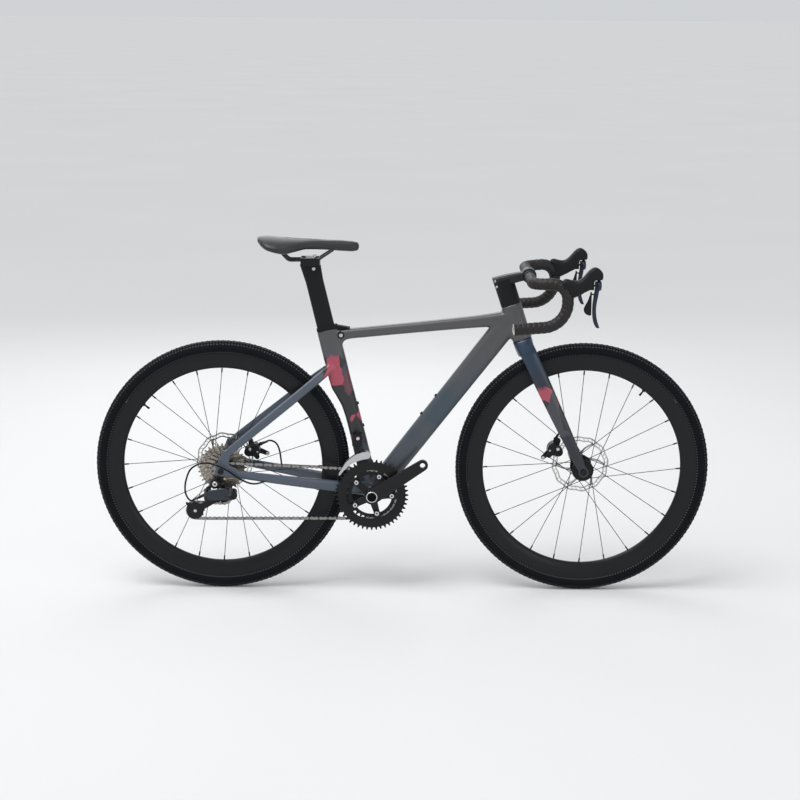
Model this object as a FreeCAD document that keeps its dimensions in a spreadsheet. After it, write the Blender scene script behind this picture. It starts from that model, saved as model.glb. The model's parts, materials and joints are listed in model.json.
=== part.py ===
"""Gravel bike: every sub-part is an object of one document, in one frame.

X points forward, Y to the rider's left and Z up; the origin is on the ground at mid wheelbase.
"""
import FreeCAD, Part
import math
import os
from FreeCAD import Placement, Rotation, Vector

# Driving sizes in millimetres and degrees, grouped by piece
SIZES = {
    # Stance
    "wheelbase": 994, "tyre_radius": 350, "bottom_bracket_drop": 71, "chainstay_length": 419,
    "head_angle": 71.5, "fork_rake": 50, "fork_height": 397, "head_tube_length": 101,
    "seat_angle": 76.2, "seat_setback": 15.4, "seat_tube_length": 467,
    # Clearances
    "running_gap": 0.05, "body_gap": 0.35, "post_gap": 0.3, "bead_gap": 0.2, "lever_room": 0.5,
    # Tyre and rim section
    "tyre_seat_half": 13.3, "tyre_wall": 3.5, "bead_width": 3.4, "rim_top_radius": 317,
    "rim_seat_radius": 311, "rim_half_width": 13.5, "rim_hook": 2.5, "rim_depth": 43, "rim_wall": 1.8,
    "valve_radius": 3, "valve_length": 18, "rear_valve_angle": 142, "front_valve_angle": 53,
    # Spokes and hubs
    "spoke_radius": 0.9, "spoke_stand": 0.8, "spoke_circle": 27, "spoke_hole_gap": 0.1,
    "spoke_head_radius": 1.7, "spoke_head_height": 1, "spoke_cross_angle": 60, "spoke_rim_stagger": 3,
    "nipple_radius": 2, "nipple_length": 12, "nipple_gap": 0.6, "flange_radius": 30, "flange_thickness": 3,
    "front_hub_width": 100, "front_left_flange": 21, "front_right_flange": 36,
    "rear_hub_width": 142, "rear_left_flange": 32, "rear_right_flange": 19.5,
    "hub_shell_radius": 14, "hub_cap_radius": 9.5, "hub_core_radius": 11, "axle_radius": 6,
    "axle_head_radius": 9, "axle_head_height": 4, "axle_nut_radius": 8, "axle_nut_height": 3,
    # Rotors
    "rotor_radius": 80, "rotor_thickness": 1.8, "rotor_track": 15, "rotor_carrier_radius": 25,
    "rotor_seat_radius": 17, "front_rotor_inset": 11.4, "rear_rotor_inset": 16, "rotor_arm_width": 7,
    "rotor_hole_radius": 2.6, "rotor_arm_lean": 38, "lockring_radius": 20, "lockring_height": 3,
    # Frame
    "head_tube_half_depth": 28, "head_tube_half_width": 24, "steerer_radius": 14.3, "steerer_room": 3,
    "bearing_height": 8, "upper_bearing_radius": 20.5, "lower_bearing_radius": 21.5,
    "top_tube_half_height": 12.8, "top_tube_half_width": 17.5, "frame_wall": 2,
    "down_tube_half_depth": 30.5, "down_tube_half_width": 23,
    "seat_tube_rear_depth": 27, "seat_tube_front_depth": 33, "seat_tube_half_width": 15,
    "shell_radius": 24, "shell_half_length": 43, "cup_radius": 20, "cup_depth": 10,
    "cup_lip_radius": 22, "cup_lip_height": 1.2, "spindle_radius": 12,
    "chainstay_half_height": 17, "chainstay_half_width": 7.8, "chainstay_root_offset": 20,
    "chainstay_root_back": 11, "chainstay_root_rise": 8, "chainstay_tip_ahead": 35,
    "chainstay_tip_fall": 7, "seatstay_half_height": 12.6, "seatstay_half_width": 7,
    "seatstay_root_offset": 10, "seatstay_tip_ahead": 19, "seatstay_tip_rise": 52,
    "dropout_thickness": 9, "dropout_reach": 60, "dropout_eye_radius": 16,
    "boss_radius": 4.5, "boss_height": 3, "boss_hole_radius": 2.1, "boss_depth": 9, "boss_spacing": 64,
    "down_boss_reach": 255, "seat_boss_reach": 184,
    # Seat
    "post_half_chord": 24, "post_half_width": 11.5, "post_insertion": 95, "post_cavity": 152,
    "post_top_reach": 650, "post_head_half": 30, "wedge_width": 18, "wedge_height": 30,
    "wedge_thickness": 6.5, "clamp_bolt_radius": 3, "clamp_bolt_head": 5.5, "clamp_bolt_sink": 3,
    "clamp_bolt_drop": 16, "clamp_bolt_ahead": 34.5, "cover_height": 9, "cover_nose": 33,
    "saddle_length": 272, "saddle_half_width": 72, "saddle_rise": 76, "saddle_depth": 40,
    "saddle_back": 140, "rail_radius": 3.5, "rail_rise": 14, "rail_spread": 22, "rail_bend": 18,
    "clamp_half_length": 26, "clamp_half_width": 28, "clamp_cap_height": 7, "clamp_screw_radius": 3,
    "clamp_screw_head": 3,
    # Fork
    "crown_half_depth": 27, "crown_height": 43, "crown_half_width": 25, "crown_room": 7,
    "leg_half_depth": 23.5, "leg_half_width": 9.5, "leg_top_offset": 35.5, "leg_tip_half": 5.8,
    "leg_tip_rise": 10, "fork_end_radius": 14, "fork_end_thickness": 11.5,
    # Cockpit
    "spacer_half_depth": 27.5, "spacer_half_width": 21, "stem_reach": 70, "stem_bar_height": 560,
    "stem_tail": 28, "stem_half_height": 13.5, "stem_half_width": 19, "stem_tail_height": 569.5,
    "stem_clamp_radius": 20, "stem_clamp_half": 22, "bar_clamp_radius": 15.9, "bar_clamp_half": 45,
    "bar_radius": 12, "bar_wall": 2, "tape_thickness": 3.2, "tape_start": 58, "plug_height": 4,
    "bar_half_width": 178, "bar_hood_half": 199, "bar_hook_half": 207, "bar_end_half": 215,
    "bar_reach": 89, "bar_ramp_rise": 5, "bar_drop": 115, "bar_hook_drop": 105, "bar_tail": 52,
    "bar_corner_bend": 40, "bar_brake_bend": 40, "bar_hook_bend": 66,
    # Brake and shift levers
    "hood_start": 70, "hood_length": 110, "hood_height": 40, "hood_half_width": 16,
    "pivot_ahead": 145, "pivot_fall": 1, "pivot_pin_radius": 2, "carrier_half": 7, "carrier_back": 9,
    "carrier_front": 11, "carrier_up": 11, "carrier_down": 9, "slot_back": 16, "slot_up": 16.5,
    "blade_length": 123, "blade_half_width": 8, "blade_half_depth": 5.5, "blade_top": 13,
    "blade_ahead": 17, "blade_pin_radius": 2.5, "blade_pin_rise": 2, "blade_pin_length": 9,
    "paddle_drop": 21, "paddle_length": 56, "paddle_depth": 20, "paddle_half_width": 2, "paddle_thickness": 4,
    "paddle_back": 2, "paddle_eye_radius": 6, "paddle_pin_radius": 2,
    # Brakes
    "caliper_inner_radius": 58, "caliper_length": 46, "caliper_half_width": 20, "caliper_inboard": 13,
    "caliper_outboard": 21, "pad_slot_half": 4.6, "pad_slot_radius": 84, "pad_inner_radius": 60,
    "pad_length": 22, "pad_half_width": 11, "front_caliper_angle": 150, "rear_caliper_angle": 21,
    "arm_pivot_radius": 9, "arm_end_radius": 6, "arm_thickness": 6, "arm_length": 42,
    "front_arm_angle": 225, "rear_arm_angle": -22, "arm_pin_radius": 3, "barrel_radius": 4,
    "barrel_length": 16, "housing_radius": 2.5,
    # Crank and chainrings
    "crank_length": 165, "crank_angle": 33, "crank_inner_offset": 60.5, "crank_thickness": 13,
    "crank_boss_radius": 21, "crank_eye_radius": 15, "pedal_hole_radius": 7.14,
    "chain_pitch": 12.7, "inner_ring_offset": 40, "outer_ring_offset": 47, "ring_thickness": 2,
    "tooth_height": 3.5, "tooth_root": 3.9, "bolt_circle": 55, "ring_bolt_radius": 5,
    "ring_bolt_head": 6.5, "ring_bolt_head_height": 1.6, "ring_tab_radius": 9, "outer_ring_inner": 78,
    "inner_ring_inner": 56, "spider_half_width": 8.5, "spider_root_half": 11,
    # Cassette, freehub and chain
    "cog_pitch": 3.95, "cog_thickness": 1.6, "cog_inset": 5.8, "freehub_radius": 17,
    "freehub_inner_end": 24.2, "cog_spacer_wall": 1.2, "cog_lockring_height": 2, "chain_half_inner": 1.3,
    "chain_plate": 1, "chain_half_height": 4.1, "chain_pin_radius": 1.8, "chain_lead": 36,
    # Derailleurs
    "hanger_thickness": 7.5, "hanger_inset": 0.7, "hanger_eye_radius": 9, "hanger_back": 15,
    "hanger_drop": 31, "hanger_root_radius": 10, "hanger_root_ahead": 4, "hanger_root_drop": 22,
    "knuckle_radius": 10.5, "knuckle_width": 16, "slant_angle": 40, "link_rest_angle": -10,
    "link_swing": 60, "link_gap": 14, "link_thickness": 6, "link_half_height": 9.6,
    "link_eye_radius": 4, "link_pin_radius": 2, "link_pivot_back": 31, "link_pivot_drop": 59,
    "link_pivot_offset": 92, "ear_start": 10, "ear_height": 3, "ear_reach": 5, "clevis_back": 6,
    "clevis_depth": 8, "cage_pivot_ahead": 33, "cage_pivot_drop": 62, "cage_knuckle_radius": 10.5,
    "cage_plate": 1.5, "cage_half_gap": 5, "cage_root_radius": 11, "cage_tip_radius": 13,
    "guide_back": 27, "guide_drop": 9, "tension_back": 105, "tension_drop": 51,
    "pulley_sleeve_radius": 4, "pulley_thickness": 2.2, "cage_pin_radius": 3,
    "front_cage_inner": 103, "front_cage_height": 14, "front_cage_plate": 1.5, "front_cage_near": 34,
    "front_cage_far": 52, "front_cage_start": 97, "front_cage_end": 147, "front_cage_bridge": 3,
    "front_mount_reach": 155, "front_mount_half": 14, "front_mount_height": 32, "front_mount_offset": 47,
    "front_cage_arm": 8,
}
COG_TEETH = (11, 12, 14, 16, 18, 20, 22, 25, 28, 32)
RING_TEETH = (34, 48)
PULLEY_TEETH = 11
SPOKES_PER_SIDE = 12
SPIDER_ARMS = 5
ROTOR_ARMS = 6
ROTOR_HOLES = 18

doc = FreeCAD.newDocument("gravel_bike")
sheet = doc.addObject("Spreadsheet::Sheet", "Sizes")
for row, (alias, value) in enumerate(SIZES.items(), start=1):
    sheet.set(f"A{row}", alias)
    sheet.set(f"B{row}", str(value))
    sheet.setAlias(f"B{row}", alias)
doc.recompute()

X_AXIS = Vector(1, 0, 0)
Y_AXIS = Vector(0, 1, 0)
Z_AXIS = Vector(0, 0, 1)
ALONG_Y = Rotation(X_AXIS, -90)
nodes = {}


def size(alias):
    """The number in a cell of the sheet."""
    return float(sheet.get(alias))


def direction(degrees):
    """Unit vector in the XZ plane, counted from X towards Z."""
    turn = math.radians(degrees)
    return Vector(math.cos(turn), 0, math.sin(turn))


# Key points that the pieces share
REAR = Vector(-size("wheelbase") / 2, 0, size("tyre_radius"))
FRONT = Vector(size("wheelbase") / 2, 0, size("tyre_radius"))
BB = REAR + Vector(math.sqrt(size("chainstay_length") ** 2 - size("bottom_bracket_drop") ** 2), 0,
                   -size("bottom_bracket_drop"))
STEER_UP = direction(180 - size("head_angle"))
STEER_AHEAD = direction(90 - size("head_angle"))
STEER_FOOT = FRONT - STEER_AHEAD * size("fork_rake")
SEAT_UP = direction(180 - size("seat_angle"))
SEAT_AHEAD = direction(90 - size("seat_angle"))
SEAT_FOOT = BB - X_AXIS * size("seat_setback")
HEAD_BOTTOM = size("fork_height") + size("body_gap")
HEAD_TOP = HEAD_BOTTOM + size("head_tube_length")


def steer(height, ahead=0, left=0):
    """Point at a height along the steering axis, ahead of it and to its left."""
    return STEER_FOOT + STEER_UP * height + STEER_AHEAD * ahead + Y_AXIS * left


def seat(height, ahead=0, left=0):
    """Point at a height along the seat tube axis, ahead of it and to its left."""
    return SEAT_FOOT + SEAT_UP * height + SEAT_AHEAD * ahead + Y_AXIS * left


BAR = steer(size("stem_bar_height"), size("stem_reach"))
POST_TOP = seat(size("post_top_reach"))


# Shape helpers
def bind(piece, **formulas):
    """Tie properties of an object to cells; a double underline stands for a dot."""
    for name, formula in formulas.items():
        piece.setExpression(name.replace("__", "."), formula)


def publish(piece, label):
    """Name an object as a sub-part that is exported."""
    piece.Label = label
    nodes[label] = piece
    return piece


def feature(label, shape):
    """Sub-part whose shape is made from the cells with Part's functions."""
    piece = doc.addObject("Part::Feature", label)
    piece.Shape = shape
    return publish(piece, label)


def mirrored(shape):
    """The same shape on the other side of the bike."""
    return shape.mirror(Vector(0, 0, 0), Y_AXIS)


def rod(start, end, radius):
    """Cylinder between two points."""
    return Part.makeCylinder(radius, (end - start).Length, start, end - start)


def disc(centre, radius, low, high):
    """Cylinder along Y round a point, from y = low to y = high."""
    return Part.makeCylinder(radius, high - low, Vector(centre.x, low, centre.z), Y_AXIS)


def block(origin, axes, spans):
    """Box given by three right-handed axes and its span along each."""
    (a_low, a_high), (b_low, b_high), (c_low, c_high) = spans
    shape = Part.makeBox(a_high - a_low, b_high - b_low, c_high - c_low, Vector(a_low, b_low, c_low))
    shape.Placement = Placement(origin, Rotation(axes[0], axes[1], axes[2], "XYZ"))
    return shape


def section(centre, across, up, half_across, half_up, corner_share):
    """Rounded rectangle; its corner radius is corner_share of the smaller half."""
    corner = corner_share * min(half_across, half_up)
    slack = corner * (1 - math.sqrt(1 / 2))
    flat_a = half_across - corner
    flat_b = half_up - corner
    edges = []
    for sign_a, sign_b in ((1, 1), (-1, 1), (-1, -1), (1, -1)):
        side = centre + across * (sign_a * half_across) + up * (sign_b * flat_b)
        top = centre + across * (sign_a * flat_a) + up * (sign_b * half_up)
        middle = centre + across * (sign_a * (half_across - slack)) + up * (sign_b * (half_up - slack))
        ends = (side, top) if sign_a * sign_b > 0 else (top, side)
        if edges:
            edges.append(Part.LineSegment(edges[-1].lastVertex(True).Point, ends[0]).toShape())
        edges.append(Part.Arc(ends[0], middle, ends[1]).toShape())
    edges.append(Part.LineSegment(ends[1], edges[0].firstVertex(True).Point).toShape())
    return Part.Wire(edges)


def loft(sections, ruled=False):
    """Solid through closed sections."""
    return Part.makeLoft(sections, True, ruled)


def rounded_path(points, bends):
    """Straight runs joined by tangent arcs, one bend radius for each inner point."""
    edges = []
    start = points[0]
    for before, corner, after, bend in zip(points, points[1:], points[2:], bends):
        back = (before - corner).normalize()
        ahead = (after - corner).normalize()
        half = back.getAngle(ahead) / 2
        trim = bend / math.tan(half)
        middle = (back + ahead).normalize() * (bend / math.sin(half) - bend)
        entry = corner + back * trim
        leave = corner + ahead * trim
        if (entry - start).Length > size("running_gap"):
            edges.append(Part.LineSegment(start, entry).toShape())
        edges.append(Part.Arc(entry, corner + middle, leave).toShape())
        start = leave
    edges.append(Part.LineSegment(start, points[-1]).toShape())
    return Part.Wire(edges)


def even_bends(points, share):
    """Bend radii that use a share of the shorter run at each corner."""
    bends = []
    for before, corner, after in zip(points, points[1:], points[2:]):
        half = (before - corner).getAngle(after - corner) / 2
        bends.append(share * min((before - corner).Length, (after - corner).Length) * math.tan(half))
    return bends


def pipe(path, radius):
    """Round tube along a path."""
    edge = path.OrderedEdges[0]
    start = edge.valueAt(edge.FirstParameter)
    heading = edge.tangentAt(edge.FirstParameter)
    profile = Part.Wire([Part.Circle(start, heading, radius).toShape()])
    return path.makePipeShell([profile], True, False)


def belt(circles, level):
    """Edges of a belt round circles (x, z, radius, turn): run, arc, run, arc and so on.

    A turn of 1 keeps the circle on the belt's left, -1 on its right, in the XZ plane at y = level.
    """
    runs = []
    for (x0, z0, r0, t0), (x1, z1, r1, t1) in zip(circles, circles[1:] + circles[:1]):
        distance = math.hypot(x1 - x0, z1 - z0)
        heading = math.atan2(z1 - z0, x1 - x0) - math.asin((t1 * r1 - t0 * r0) / distance)
        left = (-math.sin(heading), math.cos(heading))
        runs.append(((x0 - t0 * r0 * left[0], z0 - t0 * r0 * left[1]),
                     (x1 - t1 * r1 * left[0], z1 - t1 * r1 * left[1])))
    edges = []
    for index, (start, end) in enumerate(runs):
        x, z, radius, turn = circles[(index + 1) % len(circles)]
        leave = runs[(index + 1) % len(runs)][0]
        first = math.atan2(end[1] - z, end[0] - x)
        sweep = turn * ((turn * (math.atan2(leave[1] - z, leave[0] - x) - first)) % (2 * math.pi))
        middle = (x + radius * math.cos(first + sweep / 2), z + radius * math.sin(first + sweep / 2))
        spots = [Vector(px, level, pz) for px, pz in (start, end, middle, leave)]
        edges.append(Part.LineSegment(spots[0], spots[1]).toShape())
        edges.append(Part.Arc(spots[1], spots[2], spots[3]).toShape())
    return edges


def hull_plate(circles, low, high):
    """Plate whose outline is the belt round circles (x, z, radius), from y = low to y = high."""
    outline = Part.Wire(belt([(x, z, radius, 1) for x, z, radius in circles], low))
    return Part.Face(outline).extrude(Y_AXIS * (high - low))


def pitch_radius(teeth):
    """Radius on which the chain's pins lie."""
    return size("chain_pitch") / (2 * math.sin(math.pi / teeth))


TOOTH_SHARES = ((-0.30, 0), (-0.10, 1), (0.10, 1), (0.30, 0))


def toothed(centre, teeth, low, high, inner_radius):
    """Toothed plate with a round opening."""
    root = pitch_radius(teeth) - size("tooth_root")
    depth = size("tooth_root") + size("tooth_height")
    corners = []
    for tooth in range(teeth):
        for along_share, height_share in TOOTH_SHARES:
            spoke = direction(360 * (tooth + along_share) / teeth)
            corners.append(centre + spoke * (root + depth * height_share))
    corners.append(corners[0])
    plate = Part.Face(Part.makePolygon(corners)).extrude(Y_AXIS * (high - low))
    plate.translate(Y_AXIS * (low - centre.y))
    return plate.cut(disc(centre, inner_radius, low, high))


def sketched_body(label, plane, geometry):
    """PartDesign body with one sketch on a plane of its own origin."""
    body = doc.addObject("PartDesign::Body", label)
    sketch = body.newObject("Sketcher::SketchObject", label + "_sketch")
    base = [item for item in body.Origin.OriginFeatures if item.Role == plane][0]
    sketch.AttachmentSupport = [(base, "")]
    sketch.MapMode = "FlatFace"
    sketch.addGeometry(geometry, False)
    return body, sketch


def revolved(label, loops):
    """Body turned round Y from closed loops of (radius, y) points; a triple is an arc's middle."""
    geometry = []
    for loop in loops:
        for item in loop:
            points = [Vector(radius, along, 0) for radius, along in item]
            geometry.append(Part.LineSegment(*points) if len(points) == 2 else Part.Arc(*points))
    body, sketch = sketched_body(label, "XY_Plane", geometry)
    turn = body.newObject("PartDesign::Revolution", label + "_turn")
    turn.Profile = sketch
    turn.ReferenceAxis = (sketch, ["V_Axis"])
    return body


def chain_of(points):
    """Consecutive line items through points."""
    return list(zip(points, points[1:]))


def lathe(label, rings, bore):
    """Coaxial cylinders along Y as (radius, start, length) formulas, fused and bored."""
    stack = []
    for index, (radius, start, length) in enumerate(rings):
        ring = doc.addObject("Part::Cylinder", f"{label}_ring_{index}")
        ring.Placement = Placement(Vector(0, 0, 0), ALONG_Y)
        bind(ring, Radius=radius, Height=length, Placement__Base__y=start)
        stack.append(ring)
    solid = stack[0]
    if len(stack) > 1:
        solid = doc.addObject("Part::MultiFuse", label + "_solid")
        solid.Shapes = stack
        solid.Refine = True
    if bore is None:
        return solid
    radius, start, length = bore
    hole = doc.addObject("Part::Cylinder", label + "_bore")
    hole.Placement = Placement(Vector(0, 0, 0), ALONG_Y)
    bind(hole, Radius=radius, Height=length, Placement__Base__y=start)
    turned = doc.addObject("Part::Cut", label + "_turned")
    turned.Base = solid
    turned.Tool = hole
    return turned


def at_axle(piece, end):
    """Put a turned object on the front (1) or rear (-1) axle line."""
    bind(piece, Placement__Base__x=f"{end} * Sizes.wheelbase / 2", Placement__Base__z="Sizes.tyre_radius")
    return piece


# Wheels
def make_tyre(name, end):
    """Open carcass whose beads sit inside the rim's hooks."""
    seat_half = size("tyre_seat_half")
    seat_radius = size("rim_top_radius") + size("bead_gap")
    bead_low = size("rim_seat_radius") + size("bead_gap")
    bead_out = size("rim_half_width") - size("rim_hook") - size("bead_gap")
    bead_in = bead_out - size("bead_width")
    crown = size("tyre_radius")
    lining = crown - size("tyre_wall")
    side = [(seat_radius, seat_half), (seat_radius, bead_out), (bead_low, bead_out), (bead_low, bead_in),
            (seat_radius, bead_in)]
    far = [(radius, -along) for radius, along in side]
    loop = chain_of(side)
    loop.append((side[-1], (lining, 0), far[-1]))
    loop += [(b, a) for a, b in reversed(chain_of(far))]
    loop.append((far[0], (crown, 0), side[0]))
    publish(at_axle(revolved(name, [loop]), end), name)


RIM_WAIST_SHARE = 0.42
RIM_NOSE_SHARE = 0.35


def make_rim(name, end, valve_angle):
    """Deep hollow rim section turned round the axle, with its valve stem."""
    top = size("rim_top_radius")
    floor = size("rim_seat_radius")
    half = size("rim_half_width")
    hook = half - size("rim_hook")
    wall = size("rim_wall")
    nose = top - size("rim_depth")
    waist = nose + RIM_WAIST_SHARE * size("rim_depth")
    nose_half = RIM_NOSE_SHARE * half
    outer = [(top, half), (top, hook), (floor, hook), (floor, -hook), (top, -hook), (top, -half),
             (waist, -half), (nose, -nose_half), (nose, nose_half), (waist, half), (top, half)]
    inner = [(floor - wall, hook), (floor - wall, -hook), (waist, -hook),
             (nose + wall, -nose_half + wall), (nose + wall, nose_half - wall), (waist, hook),
             (floor - wall, hook)]
    rim = at_axle(revolved(name + "_ring", [chain_of(outer), chain_of(inner)]), end)
    spoke = direction(size(valve_angle))
    axle = FRONT if end > 0 else REAR
    valve = doc.addObject("Part::Feature", name + "_valve")
    reach = nose - size("bead_gap")
    valve.Shape = rod(axle + spoke * (reach - size("valve_length")), axle + spoke * reach,
                      size("valve_radius"))
    group = doc.addObject("Part::Compound", name)
    group.Links = [rim, valve]
    publish(group, name)


def make_spokes(name, axle, left_flange, right_flange):
    """Crossed spokes, each with its bent head through the flange and its nipple at the rim."""
    radius = size("spoke_radius")
    half_flange = size("flange_thickness") / 2
    rim_reach = size("rim_top_radius") - size("rim_depth") - size("nipple_gap")
    step = 360 / SPOKES_PER_SIDE
    solids = []
    for side, flange in ((1, left_flange), (-1, right_flange)):
        for index in range(SPOKES_PER_SIDE):
            outward = 1 if index % 2 else -1
            hub_angle = index * step + (step / 2 if side > 0 else 0)
            rim_angle = hub_angle - outward * size("spoke_cross_angle")
            stand = half_flange + radius + (size("spoke_stand") if outward > 0 else size("spoke_hole_gap"))
            root = axle + direction(hub_angle) * size("spoke_circle")
            bend = root + Y_AXIS * (side * (flange + outward * stand))
            head = root + Y_AXIS * (side * (flange - outward * (half_flange + size("spoke_hole_gap"))))
            cap = head - Y_AXIS * (side * outward * size("spoke_head_height"))
            tip = axle + direction(rim_angle) * rim_reach + Y_AXIS * (side * size("spoke_rim_stagger"))
            grip = tip + (bend - tip).normalize() * size("nipple_length")
            solid = rod(bend, tip, radius).fuse([Part.makeSphere(radius, bend), rod(bend, cap, radius),
                                                 rod(head, cap, size("spoke_head_radius")),
                                                 rod(grip, tip, size("nipple_radius"))])
            solids.append(solid)
    feature(name, Part.makeCompound(solids))


def make_hub(name, end, inner_start, left_flange, right_flange, rotor_start, rotor_length, half):
    """Turned hub shell with two drilled flanges, a rotor seat and a lockring."""
    thick = "Sizes.flange_thickness"
    rings = [("Sizes.hub_cap_radius", inner_start, f"{half} - ({inner_start})"),
             ("Sizes.hub_shell_radius", f"-{right_flange}", f"{left_flange} + {right_flange}"),
             ("Sizes.flange_radius", f"{left_flange} - {thick} / 2", thick),
             ("Sizes.flange_radius", f"-{right_flange} - {thick} / 2", thick),
             ("Sizes.rotor_seat_radius", left_flange, f"{rotor_start} + {rotor_length} - ({left_flange})"),
             ("Sizes.lockring_radius", f"{rotor_start} + {rotor_length}", "Sizes.lockring_height")]
    bore = ("Sizes.axle_radius + Sizes.running_gap", "-Sizes.rear_hub_width", "2 * Sizes.rear_hub_width")
    shell = lathe(name, rings, bore)
    drills = []
    step = 360 / SPOKES_PER_SIDE
    for side, flange in ((1, left_flange), (-1, right_flange)):
        for index in range(SPOKES_PER_SIDE):
            drill = doc.addObject("Part::Cylinder", f"{name}_drill_{len(drills)}")
            spot = direction(index * step + (step / 2 if side > 0 else 0)) * size("spoke_circle")
            drill.Placement = Placement(Vector(spot.x, 0, spot.z), ALONG_Y)
            bind(drill, Radius="Sizes.spoke_radius + Sizes.spoke_hole_gap", Height=thick,
                 Placement__Base__y=f"{side} * {flange} - {thick} / 2")
            drills.append(drill)
    holes = doc.addObject("Part::Compound", name + "_drills")
    holes.Links = drills
    hub = doc.addObject("Part::Cut", name)
    hub.Base = shell
    hub.Tool = holes
    publish(at_axle(hub, end), name)


def make_rotor(name, axle, offset):
    """Drilled brake track on six leaning arms round a carrier."""
    low = offset - size("rotor_thickness") / 2
    high = offset + size("rotor_thickness") / 2
    outer = size("rotor_radius")
    inner = outer - size("rotor_track")
    rotor = disc(axle, outer, low, high).cut(disc(axle, inner, low, high))
    hub = disc(axle, size("rotor_carrier_radius"), low, high)
    arms = []
    for index in range(ROTOR_ARMS):
        turn = index * 360 / ROTOR_ARMS
        root = axle + direction(turn) * (size("rotor_carrier_radius") - size("rotor_arm_width"))
        tip = axle + direction(turn + size("rotor_arm_lean")) * (inner + size("rotor_arm_width") / 4)
        along = (tip - root).normalize()
        length = (tip - root).Length
        half = size("rotor_arm_width") / 2
        arms.append(block(Vector(root.x, 0, root.z), (along, Y_AXIS, along.cross(Y_AXIS)),
                          ((0, length), (low, high), (-half, half))))
    rotor = rotor.fuse([hub] + arms).cut(disc(axle, size("rotor_seat_radius"), low, high))
    middle = (outer + inner) / 2
    holes = []
    for index in range(ROTOR_HOLES):
        lift = size("rotor_track") / 6 * (1 if index % 2 else -1)
        spot = axle + direction(index * 360 / ROTOR_HOLES) * (middle + lift)
        holes.append(disc(spot, size("rotor_hole_radius"), low, high))
    feature(name, rotor.cut(Part.makeCompound(holes)).removeSplitter())


FRONT_ROTOR = size("front_hub_width") / 2 - size("front_rotor_inset")
REAR_ROTOR = size("rear_hub_width") / 2 - size("rear_rotor_inset")
make_tyre("front_tyre", 1)
make_tyre("rear_tyre", -1)
make_rim("front_rim", 1, "front_valve_angle")
make_rim("rear_rim", -1, "rear_valve_angle")
make_spokes("front_spokes", FRONT, size("front_left_flange"), size("front_right_flange"))
make_spokes("rear_spokes", REAR, size("rear_left_flange"), size("rear_right_flange"))
make_hub("front_hub", 1, "-Sizes.front_hub_width / 2", "Sizes.front_left_flange",
         "Sizes.front_right_flange",
         "Sizes.front_hub_width / 2 - Sizes.front_rotor_inset - Sizes.rotor_thickness / 2",
         "Sizes.rotor_thickness", "Sizes.front_hub_width / 2")
make_hub("rear_hub", -1, "-Sizes.freehub_inner_end + Sizes.body_gap", "Sizes.rear_left_flange",
         "Sizes.rear_right_flange",
         "Sizes.rear_hub_width / 2 - Sizes.rear_rotor_inset - Sizes.rotor_thickness / 2",
         "Sizes.rotor_thickness", "Sizes.rear_hub_width / 2")
make_rotor("front_rotor", FRONT, FRONT_ROTOR)
make_rotor("rear_rotor", REAR, REAR_ROTOR)


def make_axle(name, end, half_width, thickness):
    """Thru-axle with a head on the left and a nut on the right."""
    reach = f"{half_width} + Sizes.body_gap + {thickness}"
    rings = [("Sizes.axle_radius", f"-({reach})", f"2 * ({reach})"),
             ("Sizes.axle_head_radius", reach, "Sizes.axle_head_height"),
             ("Sizes.axle_nut_radius", f"-({reach}) - Sizes.axle_nut_height", "Sizes.axle_nut_height")]
    publish(at_axle(lathe(name, rings, None), end), name)


make_axle("front_axle", 1, "Sizes.front_hub_width / 2", "Sizes.fork_end_thickness")
make_axle("rear_axle", -1, "Sizes.rear_hub_width / 2", "Sizes.dropout_thickness")


# Frame
HEAD_CORNER_SHARE = 0.9


def head_tube_solid():
    """Outside of the head tube."""
    return loft([section(steer(height), STEER_AHEAD, Y_AXIS, size("head_tube_half_depth"),
                         size("head_tube_half_width"), HEAD_CORNER_SHARE)
                 for height in (HEAD_BOTTOM, HEAD_TOP)], True)


def make_head_tube():
    """Head tube bored for the steerer, with a bearing seat at each end."""
    rise = size("bearing_height")
    shape = head_tube_solid()
    shape = shape.cut(rod(steer(HEAD_BOTTOM), steer(HEAD_TOP),
                          size("steerer_radius") + size("steerer_room")))
    shape = shape.cut(rod(steer(HEAD_BOTTOM), steer(HEAD_BOTTOM + rise), size("lower_bearing_radius")))
    shape = shape.cut(rod(steer(HEAD_TOP - rise), steer(HEAD_TOP), size("upper_bearing_radius")))
    feature("head_tube", shape)


def make_headset_bearings():
    """Two bearing rings in the head tube."""
    bore = size("steerer_radius") + size("running_gap")
    rings = []
    for start, radius in ((HEAD_BOTTOM, "lower_bearing_radius"),
                          (HEAD_TOP - size("bearing_height"), "upper_bearing_radius")):
        ends = (steer(start), steer(start + size("bearing_height")))
        rings.append(rod(*ends, size(radius)).cut(rod(*ends, bore)))
    feature("headset_bearings", Part.makeCompound(rings))


# Height, rear depth, front depth and width of the seat tube as shares of its sizes
SEAT_TUBE_SHARES = ((0.07, 0.55, 0.95, 1.15), (0.16, 0.36, 1.06, 1.08), (0.27, 0.29, 1.08, 1.0),
                    (0.42, 0.25, 1.06, 1.0), (0.53, 0.36, 1.03, 1.0), (0.60, 0.66, 1.01, 1.0),
                    (0.66, 0.95, 1.0, 1.0), (0.80, 1.0, 1.0, 1.0), (1.0, 1.0, 1.0, 1.0))


SEAT_CORNER_SHARE = 0.85


def seat_tube_solid():
    """Outside of the seat tube, drawn in behind to follow the rear tyre."""
    sections = []
    for height_share, rear_share, front_share, width_share in SEAT_TUBE_SHARES:
        rear = rear_share * size("seat_tube_rear_depth")
        front = front_share * size("seat_tube_front_depth")
        centre = seat(height_share * size("seat_tube_length"), (front - rear) / 2)
        sections.append(section(centre, SEAT_AHEAD, Y_AXIS, (front + rear) / 2,
                                width_share * size("seat_tube_half_width"), SEAT_CORNER_SHARE))
    return loft(sections)


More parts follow.
